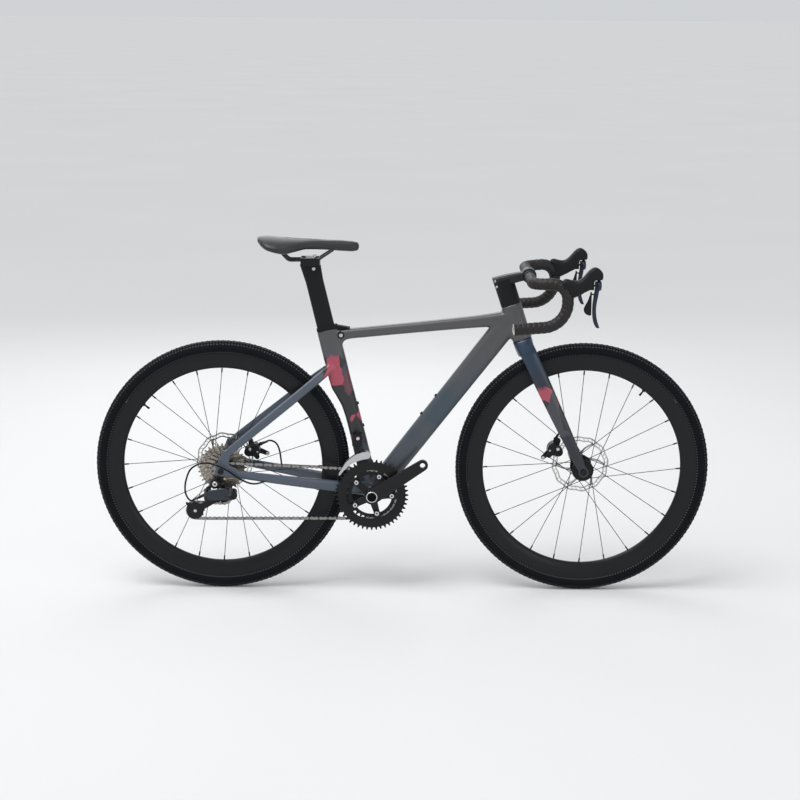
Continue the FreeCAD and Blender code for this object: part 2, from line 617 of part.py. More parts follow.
SEAT_TUBE = seat_tube_solid()
SHELL = disc(BB, size("shell_radius"), -size("shell_half_length"), size("shell_half_length"))
HEAD_TUBE = head_tube_solid()


def boss_at(foot, outward):
    """Boss and drill of a bottle mount standing on a tube face."""
    top = foot + outward * size("boss_height")
    boss = rod(foot - outward * size("boss_depth"), top, size("boss_radius"))
    drill = rod(foot - outward * (size("boss_depth") - size("frame_wall")), top, size("boss_hole_radius"))
    return boss, drill


POST_CAVITY_TOP = size("seat_tube_length")
WEDGE_START = size("post_half_chord") + size("post_gap")
SEAT_BOSS_SHARE = 1.05
SEAT_BOSSES = [seat(size("seat_boss_reach") + step * size("boss_spacing"),
                    SEAT_BOSS_SHARE * size("seat_tube_front_depth")) for step in (0, 1)]


POST_CORNER_SHARE = 0.85


def make_seat_tube():
    """Seat tube with the post's socket, the wedge pocket and two bottle bosses."""
    shape = SEAT_TUBE.cut(SHELL)
    low = POST_CAVITY_TOP - size("post_cavity")
    sections = [section(seat(height), SEAT_AHEAD, Y_AXIS, size("post_half_chord") + size("post_gap"),
                        size("post_half_width") + size("post_gap"), POST_CORNER_SHARE)
                for height in (low, POST_CAVITY_TOP + size("frame_wall"))]
    shape = shape.cut(loft(sections, True))
    half = size("wedge_width") / 2
    pocket = block(seat(POST_CAVITY_TOP), (SEAT_AHEAD, Y_AXIS, SEAT_UP),
                   ((0, WEDGE_START + size("wedge_thickness")), (-half, half),
                    (-size("wedge_height"), size("frame_wall"))))
    half, head = bolt_sides()
    shape = shape.cut(pocket).cut(disc(CLAMP_BOLT, size("clamp_bolt_radius"), -half, half))
    shape = shape.cut(disc(CLAMP_BOLT, size("clamp_bolt_head"), -half, -head))
    for foot in SEAT_BOSSES:
        boss, drill = boss_at(foot, SEAT_AHEAD)
        shape = shape.fuse(boss).cut(drill)
    feature("seat_tube", shape)


def straight_tube(start, end, stations, half_side, half_face, corner_share):
    """Tube along a line; stations give the way along and the shares of its two halves."""
    along = (end - start).normalize()
    face = along.cross(Y_AXIS)
    return loft([section(start + (end - start) * way, Y_AXIS, face, side_share * half_side,
                         face_share * half_face, corner_share)
                 for way, side_share, face_share in stations])


TOP_TUBE_SHARES = ((0, 0.97, 0.98), (0.35, 1.0, 1.0), (0.78, 1.06, 1.14), (1.0, 1.15, 1.55))
TOP_REAR_SHARE = 0.963
TOP_INSET_SHARE = 0.6
TOP_TUBE_REAR = seat(TOP_REAR_SHARE * size("seat_tube_length"),
                     TOP_INSET_SHARE * size("seat_tube_front_depth"))
TOP_SINK_SHARE = 0.65
TOP_FRONT_SHARE = 0.65
TOP_TUBE_FRONT = steer(HEAD_BOTTOM + TOP_FRONT_SHARE * size("head_tube_length"),
                       -TOP_SINK_SHARE * size("head_tube_half_depth"))
TOP_CORNER_SHARE = 0.75
TOP_TUBE = straight_tube(TOP_TUBE_REAR, TOP_TUBE_FRONT, TOP_TUBE_SHARES, size("top_tube_half_width"),
                         size("top_tube_half_height"), TOP_CORNER_SHARE).cut(SEAT_TUBE).cut(HEAD_TUBE)
CLAMP_BOLT = seat(POST_CAVITY_TOP - size("clamp_bolt_drop"), size("clamp_bolt_ahead"))


def bolt_sides():
    """Half length of the seat clamp bolt and the y of its sunk head."""
    half = size("top_tube_half_width") + size("clamp_bolt_head")
    return half, size("top_tube_half_width") - size("clamp_bolt_sink")


def make_top_tube():
    """Hollow top tube cut to the seat and head tubes and drilled across for the clamp bolt."""
    half, head = bolt_sides()
    wall = size("frame_wall")
    hollow = straight_tube(TOP_TUBE_REAR, TOP_TUBE_FRONT, TOP_TUBE_SHARES,
                           size("top_tube_half_width") - wall,
                           size("top_tube_half_height") - wall, TOP_CORNER_SHARE)
    shape = TOP_TUBE.cut(hollow).cut(disc(CLAMP_BOLT, size("clamp_bolt_radius"), -half, half))
    feature("top_tube", shape.cut(disc(CLAMP_BOLT, size("clamp_bolt_head"), -half, -head)))


DOWN_TUBE_SHARES = ((0, 1.15, 0.9), (0.25, 1.08, 0.97), (0.6, 1.0, 1.0), (1.0, 0.95, 1.06))
DOWN_TOP_SHARE = 0.70
DOWN_TUBE_TOP = steer(HEAD_BOTTOM + DOWN_TOP_SHARE * size("head_tube_length"))
DOWN_FOOT_SHARE = 0.2
DOWN_TUBE_FOOT = BB + X_AXIS * (DOWN_FOOT_SHARE * size("shell_radius"))
DOWN_ALONG = (DOWN_TUBE_TOP - DOWN_TUBE_FOOT).normalize()
DOWN_FACE = DOWN_ALONG.cross(Y_AXIS)
DOWN_UP = DOWN_FACE if DOWN_FACE.z > 0 else DOWN_FACE * -1
DOWN_BOSSES = [DOWN_TUBE_FOOT + DOWN_ALONG * (size("down_boss_reach") + step * size("boss_spacing"))
               + DOWN_UP * size("down_tube_half_depth") for step in (0, 1)]


DOWN_CORNER_SHARE = 0.85
DOWN_TUBE = straight_tube(DOWN_TUBE_FOOT, DOWN_TUBE_TOP, DOWN_TUBE_SHARES, size("down_tube_half_width"),
                          size("down_tube_half_depth"), DOWN_CORNER_SHARE)


def make_down_tube():
    """Deep hollow down tube with two bottle bosses on its upper face."""
    wall = size("frame_wall")
    hollow = straight_tube(DOWN_TUBE_FOOT, DOWN_TUBE_TOP, DOWN_TUBE_SHARES,
                           size("down_tube_half_width") - wall,
                           size("down_tube_half_depth") - wall, DOWN_CORNER_SHARE)
    shape = DOWN_TUBE.cut(SHELL).cut(HEAD_TUBE).cut(SEAT_TUBE).cut(TOP_TUBE)
    shape = max(shape.Solids, key=lambda solid: solid.Volume).cut(hollow)
    shape = max(shape.Solids, key=lambda solid: solid.Volume)
    for foot in DOWN_BOSSES:
        boss, drill = boss_at(foot, DOWN_UP)
        shape = shape.fuse(boss).cut(drill)
    feature("down_tube", shape)


def make_bottom_bracket():
    """Bored shell and the two bearing cups pressed into it."""
    length = "2 * Sizes.shell_half_length"
    shell = lathe("bottom_bracket_shell", [("Sizes.shell_radius", "-Sizes.shell_half_length", length)],
                  ("Sizes.cup_radius", "-Sizes.shell_half_length", length))
    cups = []
    for side, lip, depth in ((1, "Sizes.shell_half_length", "Sizes.shell_half_length - Sizes.cup_depth"),
                             (-1, "-Sizes.shell_half_length - Sizes.cup_lip_height",
                              "-Sizes.shell_half_length")):
        rings = [("Sizes.cup_lip_radius", lip, "Sizes.cup_lip_height"),
                 ("Sizes.cup_radius", depth, "Sizes.cup_depth")]
        cups.append(lathe(f"bottom_bracket_cup_{side + 1}", rings,
                          ("Sizes.spindle_radius + Sizes.running_gap", f"-{length}", f"2 * {length}")))
    pair = doc.addObject("Part::Compound", "bottom_bracket_cups")
    pair.Links = cups
    for piece, label in ((shell, "bottom_bracket_shell"), (pair, "bottom_bracket_cups")):
        piece.Placement = Placement(BB, Rotation())
        publish(piece, label)


# Way along, sideways share, height share and width share of the stays
CHAINSTAY_SHARES = ((0, 0, 1.0, 1.0), (0.19, 0.205, 0.97, 0.95), (0.585, 0.667, 0.82, 0.95),
                    (1.0, 1.0, 0.65, 0.55))
SEATSTAY_SHARES = ((0, 0, 1.0, 1.0), (0.21, 0.34, 1.0, 1.0), (0.62, 0.71, 0.96, 1.0),
                   (1.0, 1.0, 0.88, 0.6))
DROPOUT_SHARES = ((0.10, 1.02), (0.46, 0.78), (0.36, 0.30), (0.78, 0.12), (0.78, -0.30), (0.20, -0.30),
                  (-0.22, -0.22), (-0.26, 0.12))
DROPOUT_INNER = size("rear_hub_width") / 2 + size("body_gap")
DROPOUT_OUTER = DROPOUT_INNER + size("dropout_thickness")
STAY_TIP = (DROPOUT_INNER + DROPOUT_OUTER) / 2


STAY_CORNER_SHARE = 0.8


def stay(root, tip, root_offset, shares, half_height, half_width):
    """Stay of the left side, swept out from the middle to the dropout."""
    along = (tip - root).normalize()
    face = along.cross(Y_AXIS)
    sections = []
    for way, side_share, height_share, width_share in shares:
        offset = root_offset + (STAY_TIP - root_offset) * side_share
        sections.append(section(root + (tip - root) * way + Y_AXIS * offset, Y_AXIS, face,
                                width_share * half_width, height_share * half_height, STAY_CORNER_SHARE))
    return loft(sections)


def dropout():
    """Left dropout plate round the rear axle."""
    corners = [REAR + Vector(x_share, 0, z_share) * size("dropout_reach") + Y_AXIS * DROPOUT_INNER
               for x_share, z_share in DROPOUT_SHARES]
    corners.append(corners[0])
    plate = Part.Face(Part.makePolygon(corners)).extrude(Y_AXIS * size("dropout_thickness"))
    eye = disc(REAR, size("dropout_eye_radius"), DROPOUT_INNER, DROPOUT_OUTER)
    return plate.fuse(eye).cut(disc(REAR, size("axle_radius"), DROPOUT_INNER, DROPOUT_OUTER))


CHAINSTAY = stay(BB + Vector(-size("chainstay_root_back"), 0, size("chainstay_root_rise")),
                 REAR + Vector(size("chainstay_tip_ahead"), 0, -size("chainstay_tip_fall")),
                 size("chainstay_root_offset"), CHAINSTAY_SHARES, size("chainstay_half_height"),
                 size("chainstay_half_width"))
LEFT_CHAINSTAY = CHAINSTAY.cut(SHELL).cut(SEAT_TUBE).cut(DOWN_TUBE).fuse(dropout()).removeSplitter()
LEFT_CHAINSTAY = max(LEFT_CHAINSTAY.Solids, key=lambda solid: solid.Volume)
SEATSTAY_ROOT_SHARE = 0.784
SEATSTAY_SINK_SHARE = 0.5
SEATSTAY = stay(seat(SEATSTAY_ROOT_SHARE * size("seat_tube_length"),
                     -SEATSTAY_SINK_SHARE * size("seat_tube_rear_depth")),
                REAR + Vector(size("seatstay_tip_ahead"), 0, size("seatstay_tip_rise")),
                size("seatstay_root_offset"), SEATSTAY_SHARES, size("seatstay_half_height"),
                size("seatstay_half_width"))
LEFT_SEATSTAY = max(SEATSTAY.cut(SEAT_TUBE).cut(LEFT_CHAINSTAY).Solids, key=lambda solid: solid.Volume)
HANGER_EYE = REAR - X_AXIS * size("hanger_back") - Z_AXIS * size("hanger_drop")
HANGER_FACE = -DROPOUT_INNER - size("hanger_inset") - size("hanger_thickness")


def make_hanger():
    """Replaceable hanger below the right dropout."""
    root = REAR + X_AXIS * size("hanger_root_ahead") - Z_AXIS * size("hanger_root_drop")
    plate = hull_plate([(root.x, root.z, size("hanger_root_radius")),
                        (HANGER_EYE.x, HANGER_EYE.z, size("hanger_eye_radius"))],
                       HANGER_FACE, HANGER_FACE + size("hanger_thickness"))
    plate = plate.cut(mirrored(LEFT_CHAINSTAY))
    feature("derailleur_hanger", max(plate.Solids, key=lambda solid: solid.Volume))


make_head_tube()
make_headset_bearings()
make_seat_tube()
make_top_tube()
make_down_tube()
make_bottom_bracket()
feature("chainstays", Part.makeCompound([LEFT_CHAINSTAY, mirrored(LEFT_CHAINSTAY)]))
feature("seatstays", Part.makeCompound([LEFT_SEATSTAY, mirrored(LEFT_SEATSTAY)]))
make_hanger()


# Seat clamp, post and saddle
def make_seat_clamp():
    """Wedge in front of the post and the bolt that draws it, seen on the right side."""
    half = size("wedge_width") / 2 - size("post_gap")
    wedge = block(seat(POST_CAVITY_TOP), (SEAT_AHEAD, Y_AXIS, SEAT_UP),
                  ((WEDGE_START + size("post_gap"), WEDGE_START + size("wedge_thickness")), (-half, half),
                   (-size("wedge_height"), 0)))
    reach, head = bolt_sides()
    bolt = disc(CLAMP_BOLT, size("clamp_bolt_radius"), -head, size("top_tube_half_width"))
    cap = disc(CLAMP_BOLT, size("clamp_bolt_head"), -size("top_tube_half_width"), -head)
    feature("seat_clamp", Part.makeCompound([wedge, bolt.fuse(cap)]))


COVER_TOP_SHARE = 0.97
COVER_WIDTH_SHARE = 0.93
COVER_NOSE_SHARE = 0.7
COVER_REACH_SHARE = 0.8
COVER_RISE_SHARE = 0.9


def make_clamp_cover():
    """Rubber cover round the post with a nose lying on the top tube."""
    depth = (size("seat_tube_front_depth") - size("seat_tube_rear_depth")) / 2
    half = (size("seat_tube_front_depth") + size("seat_tube_rear_depth")) / 2
    bottom = section(seat(POST_CAVITY_TOP, depth), SEAT_AHEAD, Y_AXIS, half, size("seat_tube_half_width"),
                     SEAT_CORNER_SHARE)
    top = section(seat(POST_CAVITY_TOP + size("cover_height"), depth), SEAT_AHEAD, Y_AXIS,
                  COVER_TOP_SHARE * half,
                  COVER_WIDTH_SHARE * size("seat_tube_half_width"), SEAT_CORNER_SHARE)
    ring = loft([bottom, top], True)
    nose_half = COVER_NOSE_SHARE * size("seat_tube_half_width")
    front = size("seat_tube_front_depth")
    low = seat(POST_CAVITY_TOP - size("cover_height"), COVER_REACH_SHARE * front, -nose_half)
    high = seat(POST_CAVITY_TOP + COVER_RISE_SHARE * size("cover_height"), COVER_REACH_SHARE * front,
                -nose_half)
    tip = seat(POST_CAVITY_TOP - size("cover_height"), front + size("cover_nose"), -nose_half)
    nose = Part.Face(Part.makePolygon([low, tip, high, low])).extrude(Y_AXIS * (2 * nose_half))
    hole = loft([section(seat(height), SEAT_AHEAD, Y_AXIS, size("post_half_chord") + size("post_gap"),
                         size("post_half_width") + size("post_gap"), POST_CORNER_SHARE)
                 for height in (POST_CAVITY_TOP - size("cover_height"),
                                POST_CAVITY_TOP + 2 * size("cover_height"))], True)
    cover = ring.fuse(nose).cut(hole).cut(TOP_TUBE).cut(SEAT_TUBE)
    feature("seat_clamp_cover", max(cover.Solids, key=lambda solid: solid.Volume))


POST_NECK_SHARE = 1.5


def make_seatpost():
    """Aero post with a head that is cut level under the saddle clamp."""
    low = POST_CAVITY_TOP - size("post_insertion")
    neck = size("post_top_reach") - POST_NECK_SHARE * size("post_head_half")
    top = size("post_top_reach") + size("post_head_half")
    post = loft([section(seat(height), SEAT_AHEAD, Y_AXIS, size("post_half_chord"),
                         size("post_half_width"), POST_CORNER_SHARE)
                 for height in (low, neck)], True)
    halves = ((neck, size("post_half_chord")), (top, size("post_head_half")))
    flare = loft([section(seat(height), SEAT_AHEAD, Y_AXIS, half, size("post_half_width"),
                          POST_CORNER_SHARE)
                  for height, half in halves], True)
    half = 3 * size("post_head_half")
    level = POST_TOP.z
    lid = Part.makeBox(2 * half, 2 * half, 2 * half, Vector(POST_TOP.x - half, -half, level))
    feature("seatpost", post.fuse(flare).cut(lid).removeSplitter())


RAIL_SHARES = ((-0.325, 0.98, 0.60), (-0.215, 0.99, 0.184), (0.075, 0.94, 0.20), (0.23, 0.72, 0.57))


def rail_path(side):
    """Centre line of one saddle rail: back, two bends and front."""
    points = [POST_TOP + Vector(x_share * size("saddle_length"), side * y_share * size("rail_spread"),
                                z_share * size("saddle_rise")) for x_share, y_share, z_share in RAIL_SHARES]
    return rounded_path(points, [size("rail_bend"), size("rail_bend")])


# Way from the back, half width, top and underside of the saddle as shares of its sizes
SADDLE_SHARES = ((0, 0.40, 0.98, 0.62), (0.035, 0.70, 1.02, 0.40), (0.10, 0.95, 1.03, 0.20),
                 (0.20, 1.0, 0.98, 0.08), (0.33, 0.84, 0.92, 0.05), (0.48, 0.53, 0.88, 0.10),
                 (0.65, 0.34, 0.85, 0.12), (0.82, 0.27, 0.80, 0.10), (0.94, 0.23, 0.70, 0.14),
                 (1.0, 0.12, 0.52, 0.26))


SADDLE_CORNER_SHARE = 0.9


def saddle_solid():
    """Cushion with its crown, drawn-in sides and narrow nose."""
    start = POST_TOP - X_AXIS * size("saddle_back") + Z_AXIS * (size("saddle_rise") - size("saddle_depth"))
    sections = []
    for way_share, width_share, top_share, low_share in SADDLE_SHARES:
        middle = (top_share + low_share) / 2 * size("saddle_depth")
        half = (top_share - low_share) / 2 * size("saddle_depth")
        centre = start + X_AXIS * (way_share * size("saddle_length")) + Z_AXIS * middle
        sections.append(section(centre, Y_AXIS, Z_AXIS, width_share * size("saddle_half_width"), half,
                                SADDLE_CORNER_SHARE))
    return loft(sections)


CLAMP_SCREW_SHARE = 0.7


def make_saddle():
    """Saddle, its two rails and the clamp that grips them."""
    cushion = saddle_solid()
    rails = [pipe(rail_path(side), size("rail_radius")).cut(cushion) for side in (1, -1)]
    rails = [max(rail.Solids, key=lambda solid: solid.Volume) for rail in rails]
    low = POST_TOP.z
    middle = low + size("rail_rise") + size("running_gap")
    half_long = size("clamp_half_length")
    half_wide = size("clamp_half_width")
    cradle = Part.makeBox(2 * half_long, 2 * half_wide, middle - low,
                          Vector(POST_TOP.x - half_long, -half_wide, low))
    cap = Part.makeBox(2 * half_long, 2 * half_wide, size("clamp_cap_height"),
                       Vector(POST_TOP.x - half_long, -half_wide, middle + size("running_gap")))
    heads = []
    for side in (1, -1):
        spot = Vector(POST_TOP.x + side * CLAMP_SCREW_SHARE * half_long, 0,
                      middle + size("running_gap") + size("clamp_cap_height"))
        heads.append(rod(spot, spot + Z_AXIS * size("clamp_screw_head"), 2 * size("clamp_screw_radius")))
    clamp = [piece.cut(Part.makeCompound(rails)) for piece in (cradle, cap.fuse(heads))]
    feature("saddle", cushion)
    feature("saddle_rails", Part.makeCompound(rails))
    feature("saddle_clamp", Part.makeCompound([solid for piece in clamp for solid in piece.Solids]))


make_seat_clamp()
make_clamp_cover()
make_seatpost()
make_saddle()


# Fork and cockpit
CROWN_SHARES = ((1.0, 1.0, 1.0), (0.6, 0.97, 1.36), (0, 0.88, 1.82))
LEG_SHARES = ((0.93, 0, 1.0, 1.0), (0.79, 0.13, 0.98, 0.95), (0.43, 0.58, 0.83, 0.84),
              (0.17, 0.90, 0.66, 0.68))


CROWN_CORNER_SHARE = 0.8


def crown_solid():
    """Crown that widens downward over the tyre."""
    base = size("fork_height") - size("crown_height")
    shape = loft([section(steer(base + way * size("crown_height")), STEER_AHEAD, Y_AXIS,
                          depth_share * size("crown_half_depth"), width_share * size("crown_half_width"),
                          CROWN_CORNER_SHARE)
                  for way, depth_share, width_share in CROWN_SHARES])
    half = 3 * size("crown_half_width")
    return shape.cut(disc(FRONT, size("tyre_radius") + size("crown_room"), -half, half))


LEG_TIP_SHARE = 0.57
LEG_CORNER_SHARE = 0.85


def left_leg():
    """Left leg with its end round the axle."""
    inner = size("front_hub_width") / 2 + size("body_gap")
    tip_offset = inner + size("leg_tip_half")
    stations = [(share * size("fork_height"), *rest) for share, *rest in LEG_SHARES]
    stations.append((size("leg_tip_rise"), 1.0, LEG_TIP_SHARE,
                     size("leg_tip_half") / size("leg_half_width")))
    sections = []
    for height, side_share, depth_share, width_share in stations:
        offset = size("leg_top_offset") + (tip_offset - size("leg_top_offset")) * side_share
        ahead = size("fork_rake") * (1 - height / size("fork_height"))
        sections.append(section(steer(height, ahead, offset), STEER_AHEAD, Y_AXIS,
                                depth_share * size("leg_half_depth"), width_share * size("leg_half_width"),
                                LEG_CORNER_SHARE))
    end = disc(FRONT, size("fork_end_radius"), inner, inner + size("fork_end_thickness"))
    shape = loft(sections).fuse(end)
    return shape.cut(disc(FRONT, size("axle_radius"), inner, inner + 2 * size("fork_end_thickness")))


CROWN = crown_solid()
LEFT_LEG = left_leg().cut(CROWN)
LEFT_LEG = max(LEFT_LEG.Solids, key=lambda solid: solid.Volume)
STEERER_SHARE = 0.5
STEERER_TOP = size("stem_tail_height") + STEERER_SHARE * size("stem_half_height")
STEERER = rod(steer(size("fork_height") - size("crown_height") / 2), steer(STEERER_TOP),
              size("steerer_radius"))
feature("fork_crown", CROWN.fuse(STEERER).removeSplitter())
feature("fork_legs", Part.makeCompound([LEFT_LEG, mirrored(LEFT_LEG)]))


STEM_FALL_SHARE = 0.15
STEM_CORNER_SHARE = 0.6
STEM_SHARES = ((0.95, 0.9), (1.0, 1.0), (0.75, 0.85))


def stem_solid():
    """Stem from its tail over the steerer to the bar clamp."""
    places = ((-size("stem_tail"), size("stem_tail_height")),
              (0, size("stem_tail_height") - STEM_FALL_SHARE * size("stem_half_height")),
              (size("stem_reach"), size("stem_bar_height")))
    body = loft([section(steer(height, ahead), STEER_UP, Y_AXIS, height_share * size("stem_half_height"),
                         width_share * size("stem_half_width"), STEM_CORNER_SHARE)
                 for (ahead, height), (height_share, width_share) in zip(places, STEM_SHARES)])
    half = size("stem_clamp_half")
    return body.fuse(disc(BAR, size("stem_clamp_radius"), -half, half)).cut(STEERER)


STEM = stem_solid()


SPACER_CORNER_SHARE = 0.9


def make_spacer():
    """Headset spacer between the head tube and the stem."""
    stations = (HEAD_TOP + size("body_gap"), size("stem_tail_height"))
    shape = loft([section(steer(height), STEER_AHEAD, Y_AXIS, size("spacer_half_depth"),
                          size("spacer_half_width"), SPACER_CORNER_SHARE) for height in stations], True)
    shape = shape.cut(STEM).cut(STEERER)
    feature("headset_spacer", max(shape.Solids, key=lambda solid: solid.Volume))


def bar_points(start):
    """Corners of the right half of the bar: top, ramp, hook and drop."""
    return [BAR - Y_AXIS * start, BAR - Y_AXIS * size("bar_half_width"),
            BAR + Vector(size("bar_reach"), -size("bar_hood_half"), size("bar_ramp_rise")),
            BAR + Vector(size("bar_reach"), -size("bar_hook_half"), -size("bar_hook_drop")),
            BAR + Vector(-size("bar_tail"), -size("bar_end_half"), -size("bar_drop"))]


BAR_BENDS = [size("bar_corner_bend"), size("bar_brake_bend"), size("bar_hook_bend")]
TAPE_RADIUS = size("bar_radius") + size("tape_thickness")
RIGHT_TAPE = pipe(rounded_path(bar_points(size("tape_start")), BAR_BENDS), TAPE_RADIUS)


def make_handlebar():
    """Drop bar with a thicker middle, and the tape and end plugs on each half."""
    half_path = rounded_path(bar_points(0), BAR_BENDS)
    right = pipe(half_path, size("bar_radius"))
    clamp = disc(BAR, size("bar_clamp_radius"), -size("bar_clamp_half"), size("bar_clamp_half"))
    bar = right.fuse([mirrored(right), clamp])
    hollow = pipe(half_path, size("bar_radius") - size("bar_wall"))
    bar = bar.cut(hollow).cut(mirrored(hollow))
    feature("handlebar", bar)
    tape = RIGHT_TAPE.cut(right)
    points = bar_points(0)
    along = (points[-1] - points[-2]).normalize()
    plug = rod(points[-1], points[-1] + along * size("plug_height"), TAPE_RADIUS)
    feature("bar_tape", Part.makeCompound([tape, mirrored(tape), plug, mirrored(plug)]))
    feature("stem", STEM.cut(disc(BAR, size("bar_clamp_radius"), -size("bar_clamp_half"),
                                  size("bar_clamp_half"))))


make_spacer()
make_handlebar()


# Hoods, levers and paddles, modelled on the right and mirrored
HOOD_SHARES = ((0.04, -0.18, 0.52, 0.94), (0.34, -0.21, 0.56, 1.03), (0.56, 0.11, 0.59, 1.0),
               (0.76, 0.52, 0.70, 0.94), (0.94, 0.65, 0.39, 0.72), (1.0, 0.62, 0.20, 0.38))
LEVER_Y = -size("bar_hood_half")
PIVOT = BAR + Vector(size("pivot_ahead"), LEVER_Y, -size("pivot_fall"))
SIDES = (("right", lambda shape: shape), ("left", mirrored))


HOOD_CORNER_SHARE = 0.8
HOOD_POCKET_SHARE = 0.9


def make_hoods():
    """Rubber hoods with a slot for the lever carrier and a pivot pin across it."""
    start = BAR + Vector(size("hood_start"), LEVER_Y, 0)
    hood = loft([section(start + Vector(way * size("hood_length"), 0, rise * size("hood_height")), Y_AXIS,
                         Z_AXIS, wide * size("hood_half_width"), tall * size("hood_height"),
                         HOOD_CORNER_SHARE)
                 for way, rise, tall, wide in HOOD_SHARES])
    hood = hood.cut(RIGHT_TAPE)
    half = size("carrier_half") + size("lever_room")
    deep = 2 * size("hood_height")
    slot = Part.makeBox(deep, 2 * half, deep + size("slot_up"),
                        PIVOT + Vector(-size("slot_back"), -half, -deep))
    mouth = Part.makeBox(deep, deep, deep + size("slot_up"),
                         PIVOT + Vector(size("carrier_front"), -deep / 2, -deep))
    hood = max(hood.cut(slot).cut(mouth).Solids, key=lambda solid: solid.Volume)
    reach = HOOD_POCKET_SHARE * size("hood_half_width")
    pin = disc(PIVOT, size("pivot_pin_radius"), LEVER_Y - reach, LEVER_Y + reach)
    hood = hood.fuse(pin)
    feature("brake_hoods", Part.makeCompound([hood, mirrored(hood)]))


def lever_pin(start, length, radius, rise):
    """Pin along X at a height over the pivot."""
    foot = PIVOT + Vector(start, 0, rise)
    return rod(foot, foot + X_AXIS * length, radius)


BLADE_PIN_SHARE = 0.8


def make_carriers():
    """Block that turns on the hood's pin and carries the blade's pin."""
    half = size("carrier_half")
    spans = ((-size("carrier_back"), size("carrier_front")), (-half, half),
             (-size("carrier_down"), size("carrier_up")))
    body = block(PIVOT, (X_AXIS, Y_AXIS, Z_AXIS), spans)
    body = body.cut(disc(PIVOT, size("pivot_pin_radius") + size("running_gap"), LEVER_Y - half,
                         LEVER_Y + half))
    body = body.fuse(lever_pin(BLADE_PIN_SHARE * size("carrier_front"), size("blade_pin_length"),
                               size("blade_pin_radius"), size("blade_pin_rise")))
    for side, place in SIDES:
        feature("lever_carrier_" + side, place(body))


# Way down, forward place, half depth and half width of the blade as shares
BLADE_SHARES = ((0, 1.0, 0.85, 0.78), (0.15, 1.14, 1.05, 0.90), (0.39, 0.90, 1.0, 1.05),
                (0.67, 0.78, 0.92, 1.0), (0.92, 1.15, 1.0, 0.88), (1.0, 1.45, 0.73, 0.62))


BLADE_CORNER_SHARE = 0.8


def make_blades():
    """Brake lever blade with the pin of its paddle behind it."""
    sections = []
    for way, ahead, deep, wide in BLADE_SHARES:
        centre = PIVOT + Vector(ahead * size("blade_ahead"), 0,
                                size("blade_top") - way * size("blade_length"))
        sections.append(section(centre, X_AXIS, Y_AXIS, deep * size("blade_half_depth"),
                                wide * size("blade_half_width"), BLADE_CORNER_SHARE))
    blade = loft(sections)
    face = size("carrier_front") + size("body_gap")
    back = 3 * size("carrier_front")
    level = -size("carrier_down") - size("running_gap")
    blade = blade.cut(block(PIVOT, (X_AXIS, Y_AXIS, Z_AXIS), ((-back, face), (-back, back), (level, back))))
    blade = blade.cut(lever_pin(0, 2 * size("blade_pin_length"),
                                size("blade_pin_radius") + size("running_gap"),
                                size("blade_pin_rise")))
    blade = blade.fuse(lever_pin(size("paddle_back"), size("blade_ahead") - size("paddle_back"),
                                 size("paddle_pin_radius"), -size("paddle_drop")))
    for side, place in SIDES:
        feature("brake_lever_" + side, place(blade))


PADDLE_SHARES = ((0, 0.20), (0.25, 0.45), (0.50, 0.80), (0.75, 1.0), (0.92, 0.75), (1.0, 0.30))
PADDLE_CORNER_SHARE = 0.8


def make_paddles():
    """Shift paddle hung on the blade's rear pin."""
    back = size("paddle_back")
    sections = []
    front = back + size("paddle_thickness")
    for way, deep in PADDLE_SHARES:
        half = deep * size("paddle_depth") / 2
        centre = PIVOT + Vector(front - half, 0, -size("paddle_drop") - way * size("paddle_length"))
        sections.append(section(centre, X_AXIS, Y_AXIS, half, size("paddle_half_width"),
                                PADDLE_CORNER_SHARE))
    eye = lever_pin(back, size("paddle_thickness"), size("paddle_eye_radius"), -size("paddle_drop"))
    hole = lever_pin(0, 2 * size("blade_ahead"), size("paddle_pin_radius") + size("running_gap"),
                     -size("paddle_drop"))
    paddle = loft(sections).fuse(eye).cut(hole)
    for side, place in SIDES:
        feature("shift_paddle_" + side, place(paddle))


make_hoods()
make_carriers()
make_blades()
make_paddles()


# Brakes
def caliper_frame(axle, angle):
    """Axes of a caliper: outward from the axle, across Y and along the rotor."""
    out = direction(angle)
    return out, Y_AXIS, out.cross(Y_AXIS)


ARM_PIVOT_SHARE = 0.56


def caliper_pivot(axle, angle):
    """Point round which the actuating arm turns."""
    reach = size("caliper_inner_radius") + ARM_PIVOT_SHARE * size("caliper_length")
    return axle + direction(angle) * reach


BARREL_SIDE_SHARE = 0.3
BARREL_REACH_SHARE = 0.8
BARREL_OUT_SHARE = 0.55


